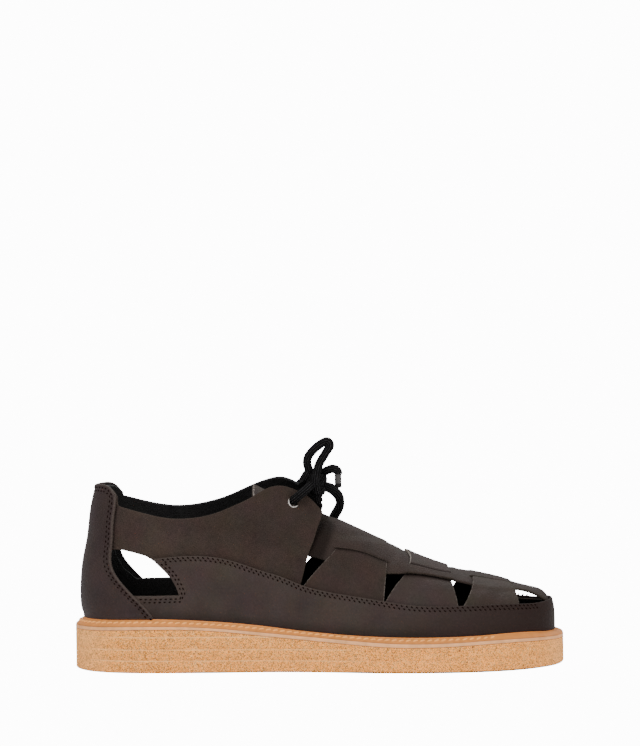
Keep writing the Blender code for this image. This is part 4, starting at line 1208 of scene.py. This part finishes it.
# How far inside the wall a spot is: below the top line, behind the front edge, above the foot
# line, and clear of the window and the eyelet.
def quarterInside(run, z):
    station = stationOf(run)
    side = sideOf(run)
    point = quarterSurface(run, z)
    collar = collarAt(station, side)
    tab = ramp(-125, -126.8, station)
    top = collar + tab * (heelTabTop(station) - 0.8 - collar)
    slope = collarAt(station + 0.5, side) - collarAt(station - 0.5, side)
    below = (top - z) / np.sqrt(1 + slope ** 2)
    low = footHeight(station) + 0.15
    front = quarterFront((z - low) / (collarAt(facingEnd, side) - low))
    behind = (front - station) * 0.93
    window = -windowDistance(point[:, 0], z - riseOf(run))
    eyelet = np.linalg.norm(point - np.where((side > 0)[:, None], eyeletPlace(1), eyeletPlace(-1)), axis=1)
    hole = np.where(side > 0, upper["farEyelet"], upper["eyelet"]) / 2
    return np.min([below, behind, z - low, window, eyelet - hole], axis=0)


# Creases, listed one by one: soft troughs and ridges along straight lines, the same on both sides. Each
# adds its height times a bell curve of the distance from its line.
vampCreases = (
    # x, girth share at one end, the same at the other, width, height
    (13, 0.66, 31, 0.84, 2.2, -0.40), (19, 0.62, 37, 0.78, 2.4, 0.30), (45, 0.62, 50, 0.96, 2.0, -0.35),
    (49, 0.60, 55, 0.92, 2.2, 0.25), (-3, 0.26, 17, 0.44, 2.6, -0.40), (6, 0.24, 27, 0.40, 2.8, 0.30),
    (22, 0.46, 36, 0.36, 2.4, -0.30), (52, 0.22, 63, 0.46, 2.4, -0.35), (62, 0.24, 74, 0.44, 3.0, 0.35),
    (96, 0.28, 103, 0.52, 3.0, 0.35), (104, 0.26, 112, 0.56, 2.4, -0.30), (88, 0.78, 84, 0.98, 2.2, -0.30),
)
wallCreases = (
    # x, z at one end, the same at the other, width, height
    (-62, 86, -30, 73, 3.2, -0.40), (-74, 75, -36, 64, 3.8, 0.30), (-90, 96, -78, 80, 3.0, -0.40),
    (-40, 100, -24, 88, 3.0, -0.30), (-26, 74, -12, 62, 3.0, -0.35), (-104, 92, -94, 80, 3.2, 0.30),
)


def creased(rows, x, other, scale):
    height = np.zeros(np.shape(x))
    for x0, other0, x1, other1, width, rise in rows:
        run, climb = x1 - x0, (other1 - other0) * scale
        share = np.clip(((x - x0) * run + (other - other0) * scale * climb) / (run ** 2 + climb ** 2), 0, 1)
        away = (x - x0 - share * run) ** 2 + ((other - other0) * scale - share * climb) ** 2
        height += rise * np.exp(-away / width ** 2)
    return height


def steps(low, high, cell):
    return np.linspace(low, high, int(round((high - low) / cell)) + 1)


frontRun = float(runAt(5.4, -1))
quarterGrid = trimmedGrid(steps(-frontRun, frontRun, upper["cell"]), steps(26.0, 114.5, upper["cell"]),
                          quarterInside)
quarter = leatherSheet(
    "quarter", quarterSurface, quarterGrid, (0.5, 0.5), False,
    ownRim("nubuck"), upper["wall"],
    lambda run, z: creased(wallCreases, stationOf(run), z, 1.0) - ramp(-25, -6, stationOf(run)), 0.5, 4,
    shade=lambda run, z: -0.17 * ramp(-60, -95, stationOf(run)),
    edge=lambda run, z: np.clip(quarterInside(run, z), 0, 20))
rimLook(quarter, lambda p: p[:, 1] > 0, leathers["lining"])
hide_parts("upper")
print("quarter")


def marginInside(run, z):
    station = stationOf(run)
    return np.minimum(np.minimum(randTop(station) - 1.5, 50) - z, z - footHeight(station) - 0.15)


marginStart = float(runAt(-26, -1))
margin = leatherSheet(
    "lastedMargin", marginSurface,
    trimmedGrid(steps(marginStart, wallLength - marginStart, 2.0), steps(20, 52, 1.6), marginInside),
    (0.5, 0.5), False, leatherSlots("lining"), 1.2, -0.45, 0.2, 2)
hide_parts("upper")


def counterEdge(z, side):
    return counterFront(z - riseOn(side))


# The rand: below its top line, in front of the counter's edge, above the foot line, clear of the
# window.
def randInside(run, z):
    station = stationOf(run)
    side = sideOf(run)
    point = marginSurface(run, z)
    rise = riseOn(side) * ramp(-20, -75, station)
    rise = rise - np.where(side > 0, 1.4, 0) * ramp(104, 116, station) * ramp(141, 134, station)
    slope = randTop(station + 0.5) - randTop(station - 0.5)
    below = (randTop(station) + rise - z) / np.sqrt(1 + slope ** 2)
    ahead = (station - counterEdge(z, side) - 0.6) * 0.8
    window = -windowDistance(point[:, 0], z - riseOf(run))
    return np.min([below, ahead, window, z - footHeight(station) - 0.15], axis=0)


def randCut(run, z):
    # Above and behind the window the rand gives way to the quarter.
    station = stationOf(run)
    beyond = np.maximum(station + 99.5, windowSill + riseOf(run) - z)
    return np.minimum(randInside(run, z), beyond)


# Distance for the paler cut edge: it is wider along the sill of the near window, and there is none
# on the far side.
def randEdge(run, z):
    sill = -0.32 * windowDistance(stationOf(run), z) + 50 * ramp(46.0, 47.5, z)
    near = np.minimum(randCut(run, z), np.where(z < 47.5, sill, 50))
    return np.where(sideOf(run) > 0, 20.0, np.clip(near, 0, 20))


randStart = float(runAt(-124, -1))
randGrid = trimmedGrid(steps(randStart, wallLength - randStart, 1.25), steps(20, 76, 1.25), randCut)
randPiece = leatherSheet(
    "rand", marginSurface, randGrid, (0.5, 0.5), False, ownRim("rand"),
    upper["rand"], upper["randHeight"], 0.4, 4, edge=randEdge,
    shade=lambda run, z: np.exp(-((z - footHeight(stationOf(run))) / 4.2) ** 2)
    * (0.32 - 0.26 * ramp(50, 115, stationOf(run))))
rimLook(randPiece, lambda p: (p[:, 1] > 0) & (p[:, 0] < -70), leathers["lining"])
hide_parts("rand")
print("rand")


def counterInside(run, z):
    station = stationOf(run)
    side = sideOf(run)
    behind = (counterEdge(z, side) - station) * 0.9
    top = heelTabTop(station) - z
    return np.min([behind, top, z - footHeight(station) - 0.15], axis=0)


counterReach = float(runAt(-97, -1))
counterGrid = trimmedGrid(steps(-counterReach, counterReach, 1.1), steps(26, 114, 1.1), counterInside)


# The counter stands out a little more in a bead just inside its cut edge.
def counterHeight(run, z):
    distance = counterInside(run, z)
    return upper["counterHeight"] + 0.45 * np.exp(-((distance - 0.9) / 0.9) ** 2) - 0.25 * np.exp(
        -((distance - 3.0) / 1.0) ** 2)


counterPiece = leatherSheet(
    "heelCounter", quarterSurface, counterGrid, (0.5, 0.5), False,
    ownRim("counter"), upper["counter"], counterHeight, 0.7, 4,
    edge=lambda run, z: np.clip(counterInside(run, z), 0, 20))
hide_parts("heel_counter")
print("heel counter")

# Cross straps: rear and front edge for each share of the girth, close to those of the solids.
crossStraps = dict(
    strapRear=(
        # girth share, rear x, front x
        (0.04, -17.0, 37.5), (0.20, -7.6, 38.7), (0.40, 5.2, 40.2), (0.53, 11.8, 40.9),
        (0.75, 15.0, 40.5), (1.0, 16.0, 40.0)),
    strapMiddle=(
        (0.04, 33.0, 84.0), (0.21, 40.2, 83.2), (0.40, 48.4, 81.6), (0.50, 52.2, 80.6),
        (0.67, 55.5, 80.0), (0.82, 56.0, 79.2), (1.0, 53.0, 77.8)),
    strapToe=(
        (0.04, 80.6, 121.0), (0.24, 87.2, 120.8), (0.40, 90.9, 120.4), (0.59, 93.2, 120.0),
        (0.76, 93.7, 119.0), (1.0, 94.5, 117.0)),
)
overCrest = dict(strapRear=-1, strapMiddle=1, strapToe=-1)   # 1 over the crest strip, -1 under it
medialRear = dict(strapRear=4.7, strapMiddle=5.0, strapToe=5.0)   # how much further back it starts there


def crossing(name, x):
    rear, front = crossStraps[name][3][1:]
    return ramp(rear - 3, rear + 1, x) * ramp(front + 3, front - 1, x)


def weaveAt(x):
    return sum(over * crossing(name, x) for name, over in overCrest.items())


# Girth share from the nearer foot line, and the vamp's lower edge on the side where the girth lies.
def fromSide(girth):
    return np.minimum(girth, 2 - girth)


def lowerEdge(x, girth):
    return np.where(girth > 1, medialLower(x), lateralLower(x))


# The facings' front edge at the height of a spot on the vamp.
def facingFront(x, girth):
    low = footHeight(x)
    return quarterFront((overVamp(x, girth)[..., 2] - low) / (lateralCollar(facingEnd) - low))


# How far the vamp is pressed down under the facings: all of it behind their front edge, easing
# off a few millimetres in front.
def underFacing(x, girth):
    front = facingFront(x, girth)
    beside = ramp(0.95, 0.78, fromSide(girth))
    return upper["pressed"] * beside * ramp(front + upper["pressedReach"], front - 0.5, x)


# Painted shade in front of the facings, from 0 to 1: darkest at their edge, gone some way in front of it.
def facingPaintedShade(x, girth):
    front = facingFront(x, girth)
    crest = ramp(0.75, 0.95, fromSide(girth))
    reach = upper["shadeReach"] * (1 - 0.6 * crest)
    depth = upper["shade"] * (1 - 0.45 * crest)
    return depth * ramp(front + reach, front + 0.6 * reach, x)


# The vamp's height: its side strips rise where a strap passes under them, and its crest strip
# where one passes under that; it is creased, and pressed under the facings.
def vampHeight(x, girth):
    girth = girth / vampScale
    share = fromSide(girth)
    woven = np.where(share < vampSlit(x), 1, -1) * weaveAt(x) * upper["lift"]
    return woven - underFacing(x, girth) + creased(vampCreases, x, share, vampScale)


# The vamp as columns of stations and rows of girth, open along its slits only where a strap
# crosses them: there the rows on either side of a slit stand apart, and elsewhere they are one.
def vampGrid():
    run = steps(float(runAt(vampRows[0][0], -1)), float(runOfAngle(np.pi)) - 0.8, 0.8)
    x = stationOf(run)
    slit = vampSlit(x)
    gap = np.where(np.abs(weaveAt(x)) > 0.2, 0.25 / vampScale, 0)
    sides = [low[:, None] + (slit - gap - low)[:, None] * np.linspace(0, 1, 12)
             for low in (lateralLower(x), medialLower(x))]
    crest = (slit + gap)[:, None] + (2 - 2 * (slit + gap))[:, None] * np.linspace(0, 1, 44)
    girth = np.concatenate([sides[0], crest, (2 - sides[1])[:, ::-1]], 1) * vampScale
    index = np.arange(girth.size).reshape(girth.shape)
    bands = [index[:, :12], index[:, 12:56], index[:, 56:]]
    faces = []
    for band in bands:
        a, b, c, d = band[:-1, :-1], band[1:, :-1], band[1:, 1:], band[:-1, 1:]
        faces += [np.stack([a, b, c], -1).reshape(-1, 3), np.stack([a, c, d], -1).reshape(-1, 3)]
    u, v = np.broadcast_to(x[:, None], girth.shape).ravel(), girth.ravel()
    spots = np.round(np.stack([u, v], 1) / 1e-6).astype(np.int64)
    _, first, place = np.unique(spots, axis=0, return_index=True, return_inverse=True)
    faces = place.reshape(-1)[np.concatenate(faces)]
    used, faces = np.unique(faces, return_inverse=True)
    return u[first][used], v[first][used], faces.reshape(-1, 3)


vampPiece = leatherSheet("vamp", vampSurface, vampGrid(), (0.4, 0.4), False, leatherSlots("vamp"),
                         upper["strap"], vampHeight, 0.4, 4,
                         shade=lambda x, girth: facingPaintedShade(x, girth / vampScale))
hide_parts("upper")
print("vamp")


# A strap as a surface of the share across it and the girth along it, and its height: it passes
# from one side of the vamp to the other where it goes through the slits.
def strapStation(name, share, girth):
    rows = crossStraps[name]
    rear, front = curveThrough(rows, 1), curveThrough(rows, 2)
    distance = fromSide(girth)
    start = rear(distance) - medialRear[name] * ramp(1.1, 1.6, girth)
    return start + (front(distance) - start) * share / upper["strapRows"]


def strapSurface(name):
    return lambda share, girth: overVamp(strapStation(name, share, girth / vampScale), girth / vampScale)


def strapHeight(name):
    def at(share, girth):
        girth = girth / vampScale
        x = strapStation(name, share, girth)
        distance = fromSide(girth)
        lower = lowerEdge(x, girth)
        overSide = ramp(lower - 0.12, lower - 0.02, distance)
        pastSlit = ramp(vampSlit(x) - 0.02, vampSlit(x) + 0.03, distance)
        woven = -overCrest[name] * upper["lift"] * overSide * (1 - 2 * pastSlit)
        return woven - underFacing(x, girth) + creased(vampCreases, x, distance, vampScale)

    return at


# A strap is painted darker, as shade, where it goes under the vamp: at its slits, and at its lower edge
# where the strap starts out under it.
def strapShade(name):
    def at(share, girth):
        girth = girth / vampScale
        x = strapStation(name, share, girth)
        distance = fromSide(girth)
        fromSlit = (distance - vampSlit(x)) * vampScale
        tucked = upper["tucked"] * np.exp(-(fromSlit / upper["tuckedReach"]) ** 2)
        fromEdge = (distance - lowerEdge(x, girth)) * vampScale
        under = np.exp(-(fromEdge / upper["edgeReach"]) ** 2) * (overCrest[name] > 0)
        return np.maximum(tucked, under)

    return at


for name in crossStraps:
    low = crossStraps[name][0][0] * vampScale
    grid = trimmedGrid(steps(0, upper["strapRows"], 1.1), steps(low, 2 * vampScale - low, 0.9), everywhere)
    strap = leatherSheet(
        name, strapSurface(name), grid, (0.4, 0.4), False, leatherSlots(name), upper["strap"],
        strapHeight(name), 0.4, 4, edge=lambda u, v: np.minimum(u, upper["strapRows"] - u) * 0.9,
        shade=strapShade(name))
    if name == "strapMiddle":
        # The middle strap's upper cut edges over the crest get the pale raw edge with its painted highlight.
        rimLook(strap, lambda p: (p[:, 2] > 60) & (p[:, 0] < 70) & (p[:, 1] < 6), leathers["rawEdgeHighlight"])
    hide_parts("upper")
print("straps")

# Dark seams: rows of short stitches a set distance inside an edge, each row half a stitch on from
# the one before.
seams = dict(
    pitch=3.0, length=1.9, radius=0.48, sink=0.18,
    rand=(0.8, 2.3), randSlant=-38, randEnd=131.0,
    counter=(1.5, 3.5), counterSlant=8,
    window=(1.5, 3.3), windowSlant=8,
)


def randSeam(side, distance):
    ends = [float(runAt(x, side)) for x in (-94.0, seams["randEnd"])]
    run = np.linspace(*ends, 900)
    station = stationOf(run)
    rise = riseOn(side) * ramp(-20, -75, station)
    slope = randTop(station + 0.5) - randTop(station - 0.5)
    return np.stack([run, randTop(station) + rise - distance * np.sqrt(1 + slope ** 2)], 1)


# Beside the window: its outline from the top of the front edge down, round the corner and back
# along the bottom, moved out by the distance.
def windowSeam(side, distance):
    edge = smoothPath([(*row, 0) for row in windowRows[4:9]], 60)[:, :2]
    edge = np.concatenate([edge[8:], [(-98.0, windowSill), (-106.0, windowSill)]])
    along = np.gradient(edge, axis=0)
    along /= np.linalg.norm(along, axis=1)[:, None]
    moved = edge + np.stack([-along[:, 1], along[:, 0]], 1) * distance
    rise = float(riseOn(side))
    return np.stack([runAt(moved[:, 0], side), moved[:, 1] + rise], 1)


# On the counter: up inside its front edge, then back under the tab's top line to the heel.
def counterSeam(side, distance):
    z = np.linspace(31.0, 107.0, 120)
    x = counterFront(z) - distance * 1.02
    rise = float(riseOn(side))
    keep = z + rise < heelTabTop(x) - distance
    upward = np.stack([runAt(x, side), z + rise], 1)[keep]
    run = np.linspace(upward[-1, 0], 0, 80)[2:]
    return np.concatenate([upward, np.stack([run, heelTabTop(stationOf(run)) - distance], 1)])


def seam(name, surface, paths, slant, height):
    made = [(path, seams["pitch"] / 2 * (k % 2)) for k, path in enumerate(paths)]
    piece = stitchesOn(name, surface, made, seams["pitch"], seams["length"], seams["radius"], slant,
                       darkThreadLook, (0.5, 0.5), height=height, sink=seams["sink"])


def onBothSides(line, distances):
    return [line(side, distance) for side in (-1, 1) for distance in distances]


seam("randSeam", marginSurface, onBothSides(randSeam, seams["rand"]), seams["randSlant"],
     upper["randHeight"])
seam("windowSeam", marginSurface, onBothSides(windowSeam, seams["window"]), seams["windowSlant"],
     upper["randHeight"])
seam("counterSeam", quarterSurface, onBothSides(counterSeam, seams["counter"]), seams["counterSlant"],
     counterHeight)
print("seams")

tongue = dict(rear=-38.5, front=4.5, halfWidth=19.0)


# The tongue lies under the facings on the vamp's line, across it by its share of the width.
def tongueSurface(x, across):
    _, lateral = edgeAt(angleAt(x, -1), last["inset"])
    _, medial = edgeAt(angleAt(x, 1), last["inset"])
    low = np.arccos(np.clip(tongue["halfWidth"] / (crestSide(x) - lateral), 0, 1)) * 2 / np.pi
    high = 2 - np.arccos(np.clip(tongue["halfWidth"] / (medial - crestSide(x)), 0, 1)) * 2 / np.pi
    return overVamp(x, low + (high - low) * across / (2 * tongue["halfWidth"]))


tonguePiece = leatherSheet(
    "tongue", tongueSurface,
    trimmedGrid(steps(tongue["rear"], tongue["front"], 1.1), steps(0, 2 * tongue["halfWidth"], 1.0),
                everywhere),
    (0.4, 0.4), False, leatherSlots("tongue"), upper["tongue"],
    lambda x, across: -(2.5 - 1.9 * ramp(-14, -38, x)), 0.4, 4,
    edge=lambda x, across: np.clip(x - tongue["rear"], 0, 20))
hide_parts("tongue")
print("tongue")
